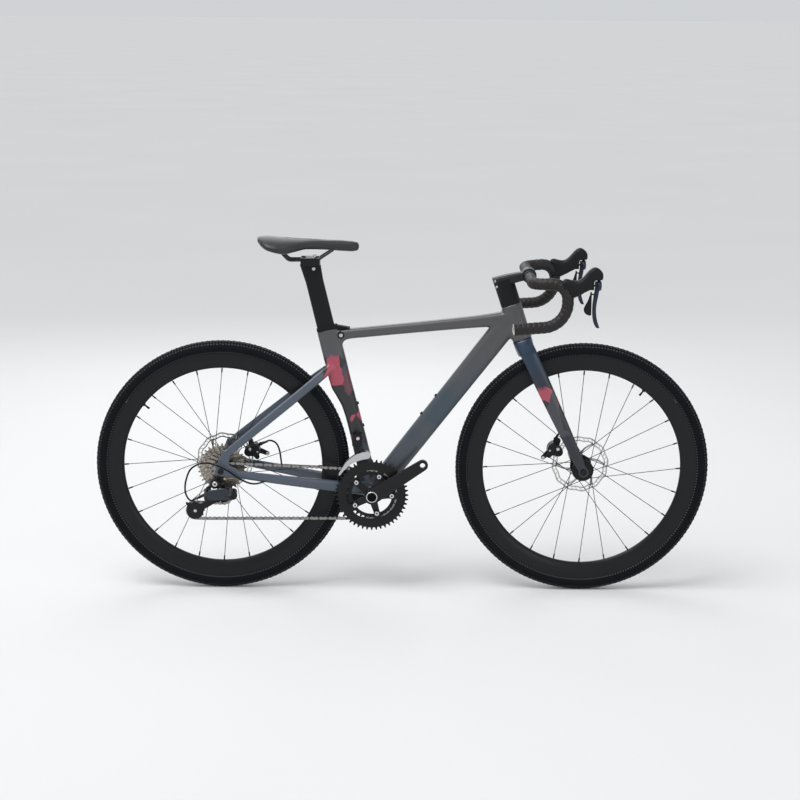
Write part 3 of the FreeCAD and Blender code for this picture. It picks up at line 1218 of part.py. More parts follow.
def make_caliper(name, axle, angle, rotor, keep_clear, outward_end):
    """Caliper astride the rotor with two pads, the arm's pin and the cable barrel."""
    axes = caliper_frame(axle, angle)
    inner = size("caliper_inner_radius")
    half = size("caliper_half_width")
    body = block(axle, axes, ((inner, inner + size("caliper_length")),
                              (rotor - size("caliper_inboard"), rotor + size("caliper_outboard")),
                              (-half, half)))
    gap = size("pad_slot_half")
    body = body.cut(block(axle, axes, ((0, size("pad_slot_radius")), (rotor - gap, rotor + gap),
                                       (-2 * half, 2 * half))))
    pads = []
    near = size("rotor_thickness") / 2 + size("body_gap")
    for low, high in ((rotor - gap, rotor - near), (rotor + near, rotor + gap)):
        wide = size("pad_half_width")
        start = size("pad_inner_radius")
        pads.append(block(axle, axes, ((start, start + size("pad_length")), (low, high), (-wide, wide))))
    pivot = caliper_pivot(axle, angle)
    face = rotor + size("caliper_outboard")
    pin = disc(pivot, size("arm_pin_radius"), face - size("arm_thickness"), face + size("arm_thickness"))
    foot = axle + axes[0] * (inner + size("caliper_length")) + axes[2] * (BARREL_SIDE_SHARE * half)
    outward = axes[0]
    if not outward_end:
        foot = axle + axes[0] * (inner + BARREL_REACH_SHARE * size("caliper_length")) - axes[2] * half
        outward = axes[2] * -1
    foot = foot + Y_AXIS * (rotor + BARREL_OUT_SHARE * size("caliper_outboard"))
    barrel = rod(foot - outward * size("barrel_radius"), foot + outward * size("barrel_length"),
                 size("barrel_radius"))
    body = body.fuse([pin, barrel])
    for solid in keep_clear:
        body = body.cut(solid)
    body = max(body.Solids, key=lambda solid: solid.Volume)
    feature(name, Part.makeCompound([body] + pads))
    return foot + outward * size("barrel_length"), outward


def make_brake_arm(name, axle, angle, arm_angle, rotor):
    """Arm that turns on the caliper's pin."""
    pivot = caliper_pivot(axle, angle)
    end = pivot + direction(arm_angle) * size("arm_length")
    low = rotor + size("caliper_outboard") + size("body_gap")
    high = low + size("arm_thickness")
    circles = [(pivot.x, pivot.z, size("arm_pivot_radius")), (end.x, end.z, size("arm_end_radius"))]
    plate = hull_plate(circles, low, high)
    feature(name, plate.cut(disc(pivot, size("arm_pin_radius") + size("running_gap"), low, high)))


FRONT_BARREL, FRONT_PULL = make_caliper("front_brake_caliper", FRONT, size("front_caliper_angle"),
                                        FRONT_ROTOR, [LEFT_LEG], False)
REAR_BARREL, REAR_PULL = make_caliper("rear_brake_caliper", REAR, size("rear_caliper_angle"), REAR_ROTOR,
                                      [LEFT_CHAINSTAY, LEFT_SEATSTAY], True)
make_brake_arm("front_brake_arm", FRONT, size("front_caliper_angle"), size("front_arm_angle"), FRONT_ROTOR)
make_brake_arm("rear_brake_arm", REAR, size("rear_caliper_angle"), size("rear_arm_angle"), REAR_ROTOR)

# Crank set
CRANK_OUT = -size("crank_inner_offset") - size("crank_thickness")
SPIDER_HIGH = -size("inner_ring_offset") - size("ring_thickness") / 2
SPIDER_LOW = -size("outer_ring_offset") + size("ring_thickness") / 2


def crank_plate(angle, low, high):
    """Arm plate round the spindle boss and the pedal eye, with the pedal hole."""
    eye = BB + direction(angle) * size("crank_length")
    plate = hull_plate([(BB.x, BB.z, size("crank_boss_radius")), (eye.x, eye.z, size("crank_eye_radius"))],
                       low, high)
    return plate.cut(disc(eye, size("pedal_hole_radius"), low, high))


SPIDER_ROOT_SHARE = 0.5


def spider_arm(angle):
    """Arm that slopes in from the crank boss to a tab between the chainrings."""
    out = direction(angle)
    across = out.cross(Y_AXIS)
    shelf = size("bolt_circle") - size("ring_tab_radius")
    spots = ((SPIDER_ROOT_SHARE * size("crank_boss_radius"), -size("crank_inner_offset"), SPIDER_LOW,
              size("spider_root_half")),
             (shelf, SPIDER_LOW, SPIDER_HIGH, size("spider_half_width")))
    wires = []
    for reach, low, high, half in spots:
        corners = [BB + out * reach + across * (side * half) + Y_AXIS * level
                   for side, level in ((-1, low), (1, low), (1, high), (-1, high), (-1, low))]
        wires.append(Part.makePolygon(corners))
    tab = disc(BB + out * size("bolt_circle"), size("spider_half_width"), SPIDER_LOW, SPIDER_HIGH)
    half = size("spider_half_width")
    bridge = block(BB, (out, Y_AXIS, across), ((shelf, size("bolt_circle")), (SPIDER_LOW, SPIDER_HIGH),
                                               (-half, half)))
    return [loft(wires, True), tab, bridge]


def bolt_spots():
    """Centres of the chainring bolts."""
    return [BB + direction(size("crank_angle") + 180 / SPIDER_ARMS + index * 360 / SPIDER_ARMS)
            * size("bolt_circle") for index in range(SPIDER_ARMS)]


def make_crank_arms():
    """Right arm with spider and spindle, and the left arm half a turn on."""
    right = crank_plate(size("crank_angle"), CRANK_OUT, -size("crank_inner_offset"))
    lip = size("shell_half_length") + size("cup_lip_height") + size("body_gap")
    boss = disc(BB, size("crank_boss_radius"), -size("crank_inner_offset"), -lip)
    spindle = disc(BB, size("spindle_radius"), -size("crank_inner_offset"), size("crank_inner_offset"))
    arms = []
    for index in range(SPIDER_ARMS):
        arms += spider_arm(size("crank_angle") + 180 / SPIDER_ARMS + index * 360 / SPIDER_ARMS)
    right = right.fuse([boss, spindle] + arms)
    reach = size("shell_half_length") + size("cup_lip_height") + size("body_gap")
    well = disc(BB, size("cup_lip_radius") + size("body_gap"), -reach, 0)
    right = right.cut(well.cut(disc(BB, size("spindle_radius"), -reach, 0)))
    drills = [disc(spot, size("ring_bolt_radius") + size("running_gap"), SPIDER_LOW, SPIDER_HIGH)
              for spot in bolt_spots()]
    right = right.cut(Part.makeCompound(drills))
    left = crank_plate(size("crank_angle") + 180, size("crank_inner_offset"), -CRANK_OUT)
    collar = disc(BB, size("crank_boss_radius"), reach, size("crank_inner_offset"))
    left = left.fuse(collar).cut(disc(BB, size("spindle_radius"), 0, size("crank_inner_offset")))
    feature("crank_arms", Part.makeCompound([right, left]))


def make_chainrings():
    """Two toothed rings on tabs and the five bolts through them."""
    solids = []
    half = size("ring_thickness") / 2
    for teeth, offset, opening in ((RING_TEETH[0], -size("inner_ring_offset"), "inner_ring_inner"),
                                   (RING_TEETH[1], -size("outer_ring_offset"), "outer_ring_inner")):
        low, high = offset - half, offset + half
        ring = toothed(BB, teeth, low, high, size(opening))
        tabs = []
        for spot in bolt_spots():
            out = (spot - BB).normalize()
            grip = size("ring_tab_radius")
            reach = max(size(opening) - size("bolt_circle") + half, half)
            tabs.append(disc(spot, grip, low, high))
            tabs.append(block(Vector(spot.x, 0, spot.z), (out, Y_AXIS, out.cross(Y_AXIS)),
                              ((0, reach), (low, high), (-grip, grip))))
        ring = ring.fuse(tabs)
        drills = [disc(spot, size("ring_bolt_radius") + size("running_gap"), low,
                       high) for spot in bolt_spots()]
        solids.append(ring.cut(Part.makeCompound(drills)).removeSplitter())
    low = -size("outer_ring_offset") - half
    high = -size("inner_ring_offset") + half
    for spot in bolt_spots():
        sleeve = disc(spot, size("ring_bolt_radius"), low, high)
        solids.append(sleeve.fuse(disc(spot, size("ring_bolt_head"), low - size("ring_bolt_head_height"),
                                       low)))
    feature("chainrings", Part.makeCompound(solids))


make_crank_arms()
make_chainrings()

# Cassette
SMALL_COG = -(size("rear_hub_width") / 2 - size("cog_inset"))


def make_cassette():
    """Freehub body with ten cogs, the spacers between them and the lockring."""
    bore = size("axle_radius") + size("running_gap")
    grip = size("freehub_radius")
    half = size("cog_thickness") / 2
    outer_end = -size("rear_hub_width") / 2
    solids = [disc(REAR, grip, SMALL_COG - half, -size("freehub_inner_end"))]
    solids[0] = solids[0].fuse(disc(REAR, size("hub_cap_radius"), outer_end, -size("freehub_inner_end")))
    solids[0] = solids[0].cut(disc(REAR, bore, outer_end, -size("freehub_inner_end")))
    for index, teeth in enumerate(COG_TEETH):
        place = SMALL_COG + index * size("cog_pitch")
        solids.append(toothed(REAR, teeth, place - half, place + half, grip))
        if index:
            spacer = disc(REAR, grip + size("cog_spacer_wall"), place - size("cog_pitch") + half,
                          place - half)
            solids.append(spacer.cut(disc(REAR, grip, place - size("cog_pitch"), place)))
    lock = disc(REAR, grip, SMALL_COG - half - size("cog_lockring_height"), SMALL_COG - half)
    solids.append(lock.cut(disc(REAR, size("hub_cap_radius"), outer_end, 0)))
    feature("cassette", Part.makeCompound(solids))


make_cassette()

# Rear derailleur
SLANT = math.radians(size("slant_angle"))
LINK_SIDE = Vector(0, math.cos(SLANT), -math.sin(SLANT))
LINK_UP = Vector(0, math.sin(SLANT), math.cos(SLANT))
LINK_REST = math.radians(size("link_rest_angle"))
LINK_SWING = LINK_REST + math.radians(size("link_swing"))
COG_SPAN = (len(COG_TEETH) - 1) * size("cog_pitch")
LINK_LENGTH = COG_SPAN / math.cos(SLANT) / (math.sin(LINK_SWING) - math.sin(LINK_REST))
LINK_ALONG = X_AXIS * math.cos(LINK_REST) + LINK_SIDE * math.sin(LINK_REST)
UPPER_PIVOT = REAR + Vector(-size("link_pivot_back"), -size("link_pivot_offset"), -size("link_pivot_drop"))
LOWER_PIVOT = UPPER_PIVOT + LINK_ALONG * LINK_LENGTH
SHIFT_PULL_SHARES = (-1, -0.15, -0.35)
SHIFT_PULL = Vector(*SHIFT_PULL_SHARES).normalize()
SHIFT_BARREL = UPPER_PIVOT + SHIFT_PULL * (2 * size("barrel_length"))
CAGE_PIVOT = Vector(REAR.x + size("cage_pivot_ahead"), SMALL_COG, REAR.z - size("cage_pivot_drop"))
GUIDE = CAGE_PIVOT + Vector(-size("guide_back"), 0, -size("guide_drop"))
TENSION = CAGE_PIVOT + Vector(-size("tension_back"), 0, -size("tension_drop"))
CAGE_OUTER = SMALL_COG - size("cage_half_gap") - size("cage_plate")


def clevis(pivot, facing):
    """Wall with an ear above and below the links and a pin through each link eye."""
    axes = (X_AXIS, LINK_SIDE, LINK_UP)
    start = size("ear_start")
    end = start + size("ear_height")
    near = size("clevis_back")
    far = near + size("clevis_depth")
    across = (-size("ear_reach"), size("link_gap") + size("ear_reach"))
    deep = (near, far) if facing > 0 else (-far, -near)
    span = (-size("ear_reach"), far) if facing > 0 else (-far, size("ear_reach"))
    solids = [block(pivot, axes, (deep, across, (-end, end))),
              block(pivot, axes, (span, across, (start, end))),
              block(pivot, axes, (span, across, (-end, -start)))]
    for shift in (0, size("link_gap")):
        spot = pivot + LINK_SIDE * shift
        solids.append(rod(spot - LINK_UP * end, spot + LINK_UP * end, size("link_pin_radius")))
    return solids


def make_knuckles():
    """Fixed knuckle at the hanger and moving knuckle that carries the cage."""
    low = HANGER_FACE - size("knuckle_width")
    drum = disc(HANGER_EYE, size("knuckle_radius"), low, HANGER_FACE)
    solids = clevis(UPPER_PIVOT, -1)
    ear = UPPER_PIVOT + LINK_UP * (size("ear_start") + size("clevis_depth")) + LINK_SIDE * size("ear_reach")
    ear = ear - X_AXIS * size("clevis_back")
    neck = rod(Vector(HANGER_EYE.x, (low + HANGER_FACE) / 2, HANGER_EYE.z), ear, size("ear_reach"))
    post = rod(ear, ear - LINK_UP * size("clevis_depth"), size("ear_reach"))
    barrel = rod(UPPER_PIVOT - X_AXIS * size("clevis_back"), SHIFT_BARREL, size("barrel_radius"))
    knuckle = drum.fuse([neck, Part.makeSphere(size("ear_reach"), ear), post, barrel] + solids)
    feature("derailleur_knuckle", knuckle.cut(nodes["derailleur_hanger"].Shape))
    inner = CAGE_OUTER - size("body_gap")
    outer = LOWER_PIVOT.y
    drum = disc(CAGE_PIVOT, size("cage_knuckle_radius"), outer, inner)
    pin = disc(CAGE_PIVOT, size("cage_pin_radius"), inner, inner + size("body_gap") + size("cage_plate"))
    feature("derailleur_lower_knuckle", drum.fuse([pin] + clevis(LOWER_PIVOT, 1)))


def make_links():
    """Outer and inner link of the slanted parallelogram."""
    for label, shift in (("derailleur_outer_link", 0), ("derailleur_inner_link", size("link_gap"))):
        start = UPPER_PIVOT + LINK_SIDE * shift
        end = LOWER_PIVOT + LINK_SIDE * shift
        tall = LINK_UP * size("link_half_height")
        half = size("link_thickness") / 2
        across = LINK_UP.cross(LINK_ALONG)
        bar = block(start, (LINK_ALONG, across, LINK_UP),
                    ((0, LINK_LENGTH), (-half, half),
                     (-size("link_half_height"), size("link_half_height"))))
        link = bar.fuse([rod(spot - tall, spot + tall, size("link_eye_radius")) for spot in (start, end)])
        for spot in (start, end):
            link = link.cut(rod(spot - tall, spot + tall, size("link_pin_radius") + size("running_gap")))
        feature(label, link)


def make_cage():
    """Two cage plates joined by the sleeves that the pulleys turn on."""
    tip = (TENSION.x, TENSION.z, size("cage_tip_radius"))
    outer_root = (CAGE_PIVOT.x, CAGE_PIVOT.z, size("cage_root_radius"))
    inner_root = (GUIDE.x, GUIDE.z, size("cage_root_radius"))
    outer = hull_plate([tip, outer_root], CAGE_OUTER, CAGE_OUTER + size("cage_plate"))
    high = SMALL_COG + size("cage_half_gap")
    inner = hull_plate([tip, inner_root], high, high + size("cage_plate"))
    outer = outer.fuse(disc(GUIDE, size("cage_root_radius"), CAGE_OUTER, CAGE_OUTER + size("cage_plate")))
    sleeves = [disc(spot, size("pulley_sleeve_radius"), CAGE_OUTER + size("cage_plate"), high)
               for spot in (GUIDE, TENSION)]
    cage = outer.fuse([inner] + sleeves)
    hole = disc(CAGE_PIVOT, size("cage_pin_radius") + size("running_gap"), CAGE_OUTER,
                CAGE_OUTER + size("cage_plate"))
    feature("derailleur_cage", cage.cut(hole).removeSplitter())


def make_pulleys():
    """Guide and tension pulleys."""
    half = size("pulley_thickness") / 2
    bore = size("pulley_sleeve_radius") + size("running_gap")
    for label, spot in (("guide_pulley", GUIDE), ("tension_pulley", TENSION)):
        feature(label, toothed(spot, PULLEY_TEETH, SMALL_COG - half, SMALL_COG + half, bore))


make_knuckles()
make_links()
make_cage()
make_pulleys()


# Chain
def band(edges_out, edges_in, level):
    """Flat strip between two parallel runs of edges, one plate thick."""
    caps = [Part.LineSegment(edges_out[0].firstVertex(True).Point,
                             edges_in[0].firstVertex(True).Point).toShape(),
            Part.LineSegment(edges_out[-1].lastVertex(True).Point,
                             edges_in[-1].lastVertex(True).Point).toShape()]
    outline = Part.Wire(Part.__sortEdges__(edges_out + edges_in + caps))
    strip = Part.Face(outline).extrude(Y_AXIS * size("chain_plate"))
    strip.translate(Y_AXIS * level)
    return strip


def run_between(start_out, start_in, end_out, end_in, start_level, end_level):
    """Straight run of one plate from a band's end to the next band's start."""
    wires = []
    for out, inn, level in ((start_out, start_in, start_level), (end_out, end_in, end_level)):
        top = level + size("chain_plate")
        corners = [point + Y_AXIS * lift
                   for point, lift in ((out, level), (inn, level), (inn, top), (out, top))]
        wires.append(Part.makePolygon(corners + corners[:1]))
    return loft(wires, True)


def led_run(edge):
    """A straight run split into a lead, the open stretch and a lead."""
    start = edge.firstVertex(True).Point
    end = edge.lastVertex(True).Point
    lead = (end - start).normalize() * size("chain_lead")
    spots = (start, start + lead, end - lead, end)
    return [Part.LineSegment(a, b).toShape() for a, b in zip(spots, spots[1:])]


def make_chain():
    """Two rows of side plates along the whole loop, joined by pins on the open runs."""
    ring = pitch_radius(RING_TEETH[0])
    cog = pitch_radius(COG_TEETH[0])
    pulley = pitch_radius(PULLEY_TEETH)
    stops = [(BB.x, BB.z, ring, 1), (REAR.x, REAR.z, cog, 1), (GUIDE.x, GUIDE.z, pulley, -1),
             (TENSION.x, TENSION.z, pulley, 1)]
    half = size("chain_half_height")
    out = belt([(x, z, radius + turn * half, turn) for x, z, radius, turn in stops], 0)
    inn = belt([(x, z, radius - turn * half, turn) for x, z, radius, turn in stops], 0)
    ring_level = -size("inner_ring_offset")
    middle = belt(stops, 0)
    upper = [led_run(edges[0]) for edges in (out, inn, middle)]
    lower = [led_run(edges[6]) for edges in (out, inn, middle)]
    solids = []
    for shift in (size("chain_half_inner"), -size("chain_half_inner") - size("chain_plate")):
        rear = [[top[2]] + edges[1:6] + [foot[0]] for edges, top, foot in zip((out, inn), upper, lower)]
        front = [[foot[2]] + edges[7:8] + [top[0]] for edges, top, foot in zip((out, inn), upper, lower)]
        parts = [band(*rear, SMALL_COG + shift), band(*front, ring_level + shift)]
        for run, first, last in ((upper, ring_level, SMALL_COG), (lower, SMALL_COG, ring_level)):
            ends = [spot for edge in (run[0][1], run[1][1])
                    for spot in (edge.firstVertex(True).Point, edge.lastVertex(True).Point)]
            parts.append(run_between(ends[0], ends[2], ends[1], ends[3], first + shift, last + shift))
        solids.append(parts[0].fuse(parts[1:]))
    for run, first, last in ((upper, ring_level, SMALL_COG), (lower, SMALL_COG, ring_level)):
        start = run[2][1].firstVertex(True).Point + Y_AXIS * first
        end = run[2][1].lastVertex(True).Point + Y_AXIS * last
        count = int((end - start).Length / size("chain_pitch"))
        reach = size("chain_half_inner") - size("running_gap")
        for pin in range(1, count):
            spot = start + (end - start) * (pin / count)
            solids.append(disc(spot, size("chain_pin_radius"), spot.y - reach, spot.y + reach))
    feature("chain", Part.makeCompound(solids))


make_chain()

# Front derailleur
MOUNT_AHEAD_SHARE = 0.35
MOUNT = seat(size("front_mount_reach"), MOUNT_AHEAD_SHARE * size("seat_tube_front_depth"))


def sector(inner, outer, low, high, start, end):
    """Part of a flat ring round the bottom bracket between two angles."""
    middle = (start + end) / 2
    rim = [BB + direction(angle) * outer for angle in (start, middle, end)]
    core = [BB + direction(angle) * inner for angle in (end, middle, start)]
    outline = Part.Wire([Part.Arc(*rim).toShape(), Part.LineSegment(rim[2], core[0]).toShape(),
                         Part.Arc(*core).toShape(), Part.LineSegment(core[2], rim[0]).toShape()])
    plate = Part.Face(outline).extrude(Y_AXIS * (high - low))
    plate.translate(Y_AXIS * low)
    return plate


NEAR_PLATE_SHARE = 0.95
TAIL_BRIDGE_SHARE = 0.35
NOSE_BRIDGE_SHARE = 0.04


def make_front_derailleur():
    """Mount on the seat tube and the cage that slides outward over the rings."""
    half = size("front_mount_half")
    low = -size("front_mount_offset")
    mount = Part.makeBox(2 * half, size("front_mount_offset"), size("front_mount_height"),
                         Vector(MOUNT.x - half, low, MOUNT.z - size("front_mount_height") / 2))
    mount = mount.cut(SEAT_TUBE)
    mount = min(mount.Solids, key=lambda solid: solid.CenterOfMass.y)
    feature("front_derailleur_mount", mount)
    inner = size("front_cage_inner")
    outer = inner + size("front_cage_height")
    thick = size("front_cage_plate")
    near = -size("front_cage_near")
    far = -size("front_cage_far")
    start = size("front_cage_start")
    end = size("front_cage_end")
    bridge = size("front_cage_bridge")
    cage = sector(inner, outer, far, far + thick, start, end)
    cage = cage.fuse([sector(NEAR_PLATE_SHARE * inner, outer, near - thick, near, start, end),
                      sector(outer - bridge, outer, far, near, start,
                             start + TAIL_BRIDGE_SHARE * (end - start)),
                      sector(inner, inner + bridge, far, near, end - NOSE_BRIDGE_SHARE * (end - start),
                             end)])
    floor = MOUNT.z - size("front_mount_height") / 2 - size("body_gap")
    foot = BB.z + outer - 2 * bridge
    arm = Part.makeBox(half, size("front_cage_arm"), floor - foot,
                       Vector(MOUNT.x - half / 2, low, foot))
    feature("front_derailleur_cage", cage.fuse(arm).removeSplitter())


make_front_derailleur()

# Cable housings along their routes
REAR_BRAKE_ROUTE = [Vector(-338, 60, 326), Vector(-350, 64, 352)]
SHIFT_ROUTE = [Vector(-352, -62, 330), Vector(-402, -77, 316), Vector(-440, -86, 329),
               Vector(-488, -93, 364), Vector(-536, -95, 379), Vector(-580, -97, 371),
               Vector(-597, -98, 330)]
FRONT_BRAKE_ROUTE = [Vector(452, 50, 462)]
ROUTE_SHARE = 0.45


def housing(points, radius):
    """Round cable housing along a route of hand-chosen points."""
    return pipe(rounded_path(points, even_bends(points, ROUTE_SHARE)), radius)


REAR_LEAD_SHARE = 1.5
SHIFT_LEAD_SHARE = 1.6


def make_housings():
    """Brake housings into the calipers and the shift housing in its loop to the derailleur."""
    radius = size("housing_radius")
    front_end = FRONT_BARREL + FRONT_PULL * size("running_gap")
    front_lead = front_end + FRONT_PULL * size("barrel_length")
    front = housing([FRONT_BRAKE_ROUTE[0], front_lead, front_end], radius).cut(LEFT_LEG)
    feature("front_brake_housing", max(front.Solids, key=lambda solid: solid.Volume))
    rear_end = REAR_BARREL + REAR_PULL * size("running_gap")
    rear_lead = rear_end + REAR_PULL * (REAR_LEAD_SHARE * size("barrel_length"))
    rear = housing(REAR_BRAKE_ROUTE + [rear_lead, rear_end], radius).cut(LEFT_CHAINSTAY)
    rear = max(rear.Solids, key=lambda solid: solid.Volume)
    shift_end = SHIFT_BARREL + SHIFT_PULL * size("running_gap")
    shift_lead = shift_end + SHIFT_PULL * (SHIFT_LEAD_SHARE * size("barrel_length"))
    shift = housing(SHIFT_ROUTE + [shift_lead, shift_end], radius).cut(mirrored(LEFT_CHAINSTAY))
    shift = max(shift.Solids, key=lambda solid: solid.Volume)
    feature("rear_cable_housings", Part.makeCompound([rear, shift]))


make_housings()

# Recompute, check and write
doc.recompute()
for label, piece in nodes.items():
    shape = piece.Shape
    if "Invalid" in piece.State or "Error" in piece.State:
        raise RuntimeError(f"{label} did not compute: {piece.State}")
    if shape.isNull() or not shape.isValid() or not shape.Solids:
        raise RuntimeError(f"{label} has no valid solid")
os.makedirs("parts", exist_ok=True)
for label, piece in nodes.items():
    piece.Shape.exportStep(f"parts/{label}.step")
print(len(nodes), "sub-parts written")
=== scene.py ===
"""Looks of the gravel bike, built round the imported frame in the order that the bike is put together.

Sizes are in millimetres; Shape.mesh turns them into metres.
"""
import json
import bmesh
import bpy
import numpy as np
from mathutils import Matrix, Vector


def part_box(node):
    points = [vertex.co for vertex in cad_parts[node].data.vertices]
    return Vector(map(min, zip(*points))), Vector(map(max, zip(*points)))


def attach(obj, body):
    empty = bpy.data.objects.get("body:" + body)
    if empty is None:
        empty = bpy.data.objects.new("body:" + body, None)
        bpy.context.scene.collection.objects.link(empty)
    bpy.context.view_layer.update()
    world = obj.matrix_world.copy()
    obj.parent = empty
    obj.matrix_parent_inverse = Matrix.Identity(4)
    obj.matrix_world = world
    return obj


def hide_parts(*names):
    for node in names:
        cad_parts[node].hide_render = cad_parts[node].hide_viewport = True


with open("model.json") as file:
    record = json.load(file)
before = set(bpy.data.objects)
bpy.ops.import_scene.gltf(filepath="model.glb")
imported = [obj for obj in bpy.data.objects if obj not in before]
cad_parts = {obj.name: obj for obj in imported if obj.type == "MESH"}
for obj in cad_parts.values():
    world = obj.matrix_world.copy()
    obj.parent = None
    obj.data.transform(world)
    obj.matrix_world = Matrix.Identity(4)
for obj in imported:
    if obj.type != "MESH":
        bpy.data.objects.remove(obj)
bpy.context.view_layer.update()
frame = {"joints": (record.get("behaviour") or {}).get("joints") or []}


# Frame: hydroformed aluminium tubes, welded and filled so that the joints flow into each other, then painted
# satin metallic grey. The seat tube carries a generic broken pattern in rose, charcoal and deep blue.
MM = 0.001
X, Y, Z = np.eye(3)
MID = X + Z  # times a point: the same point in the bike's middle plane
EVEN_ROUNDS = 4  # the rounds of smoothing that a welded mesh gets all over
joints = {joint["name"]: joint for joint in frame["joints"]}


def pivot(joint):
    """Point of a hinge in millimetres."""
    return np.array(joints[joint]["pos_m"]) / MM


def axis_of(joint):
    """Unit vector of a joint."""
    return np.array(joints[joint]["axis"], float)


def unit(line):
    """The same direction, one long."""
    return line / np.linalg.norm(line, axis=-1, keepdims=True)


def polar(turn):
    """Unit vectors in the bike's plane at angles from ahead upwards."""
    return np.stack([np.cos(turn), 0 * turn, np.sin(turn)], -1)


def travelled(line):
    """Way along a line to each of its points."""
    return np.r_[0, np.cumsum(np.linalg.norm(np.diff(line, axis=0), axis=1))]


def smooth(knots, values, at):
    """Curve through stations without overshoot: cubic pieces whose slopes are harmonic means."""
    knots, values = np.asarray(knots, float), np.asarray(values, float)
    step = np.diff(knots)[:, None]
    rise = np.diff(values, axis=0) / step
    both = rise[:-1] * rise[1:]
    slope = np.where(both > 0, 2 * both / np.where(both > 0, rise[:-1] + rise[1:], 1), 0)
    slope = np.vstack([rise[:1], slope, rise[-1:]])
    i = np.clip(np.searchsorted(knots, at, "right") - 1, 0, len(step) - 1)
    t = ((at - knots[i]) / step[i, 0])[:, None]
    ease = t * t * (3 - 2 * t)
    return ((1 - ease) * values[i] + ease * values[i + 1]
            + step[i] * (t * (1 - t) ** 2 * slope[i] - t * t * (1 - t) * slope[i + 1]))


def loft(stations, across, up, count=40, sides=40, power=2.5, dome=(0, 0)):
    """Rows of superellipses through stations (x, y, z, half across, half up); domes round the ends off."""
    stations = np.asarray(stations, float)
    along = travelled(stations[:, :3])
    rows = smooth(along, stations, np.linspace(0, along[-1], count))
    quarter = np.linspace(0, np.pi / 2, 6)[1:]
    for end, other, reach in ((0, 1, dome[0]), (-1, -2, dome[1])):
        if reach:
            heading = unit(rows[end, :3] - rows[other, :3])
            cap = np.hstack([rows[end, :3] + np.outer(np.sin(quarter), heading) * reach,
                             np.outer(np.cos(quarter), rows[end, 3:])])
            rows = np.vstack([cap[::-1], rows]) if end == 0 else np.vstack([rows, cap])
    turn = np.linspace(0, 2 * np.pi, sides, endpoint=False)
    wave = np.array((np.cos(turn), np.sin(turn)))
    a, b = np.sign(wave) * np.abs(wave) ** (2 / power)
    return (rows[:, None, :3] + rows[:, 3, None, None] * a[:, None] * across
            + rows[:, 4, None, None] * b[:, None] * up)


def lathe(profile, centre, along=Y, turns=96):
    """Profile of (radius, way along) points turned round an axis."""
    profile = np.asarray(profile, float)
    side = unit(np.cross(along, X if abs(along[0]) < 0.9 else Z))
    turn = np.linspace(0, 2 * np.pi, turns, endpoint=False)
    spoke = np.outer(np.cos(turn), side) + np.outer(np.sin(turn), np.cross(along, side))
    return centre + profile[None, :, :1] * spoke[:, None, :] + profile[None, :, 1:] * along


def flip(points):
    """The same points on the other side of the bike."""
    return points * (1, -1, 1)


def linked(name, data):
    """New object in the scene."""
    made = bpy.data.objects.new(name, data)
    bpy.context.scene.collection.objects.link(made)
    return made


def break_edges(piece, width, sharp, harden):
    """Bevel on the edges that are sharper than an angle."""
    edge = piece.modifiers.new("edges", "BEVEL")
    edge.width, edge.segments, edge.limit_method = width * MM, 2, "ANGLE"
    edge.angle_limit, edge.harden_normals = np.radians(sharp), harden


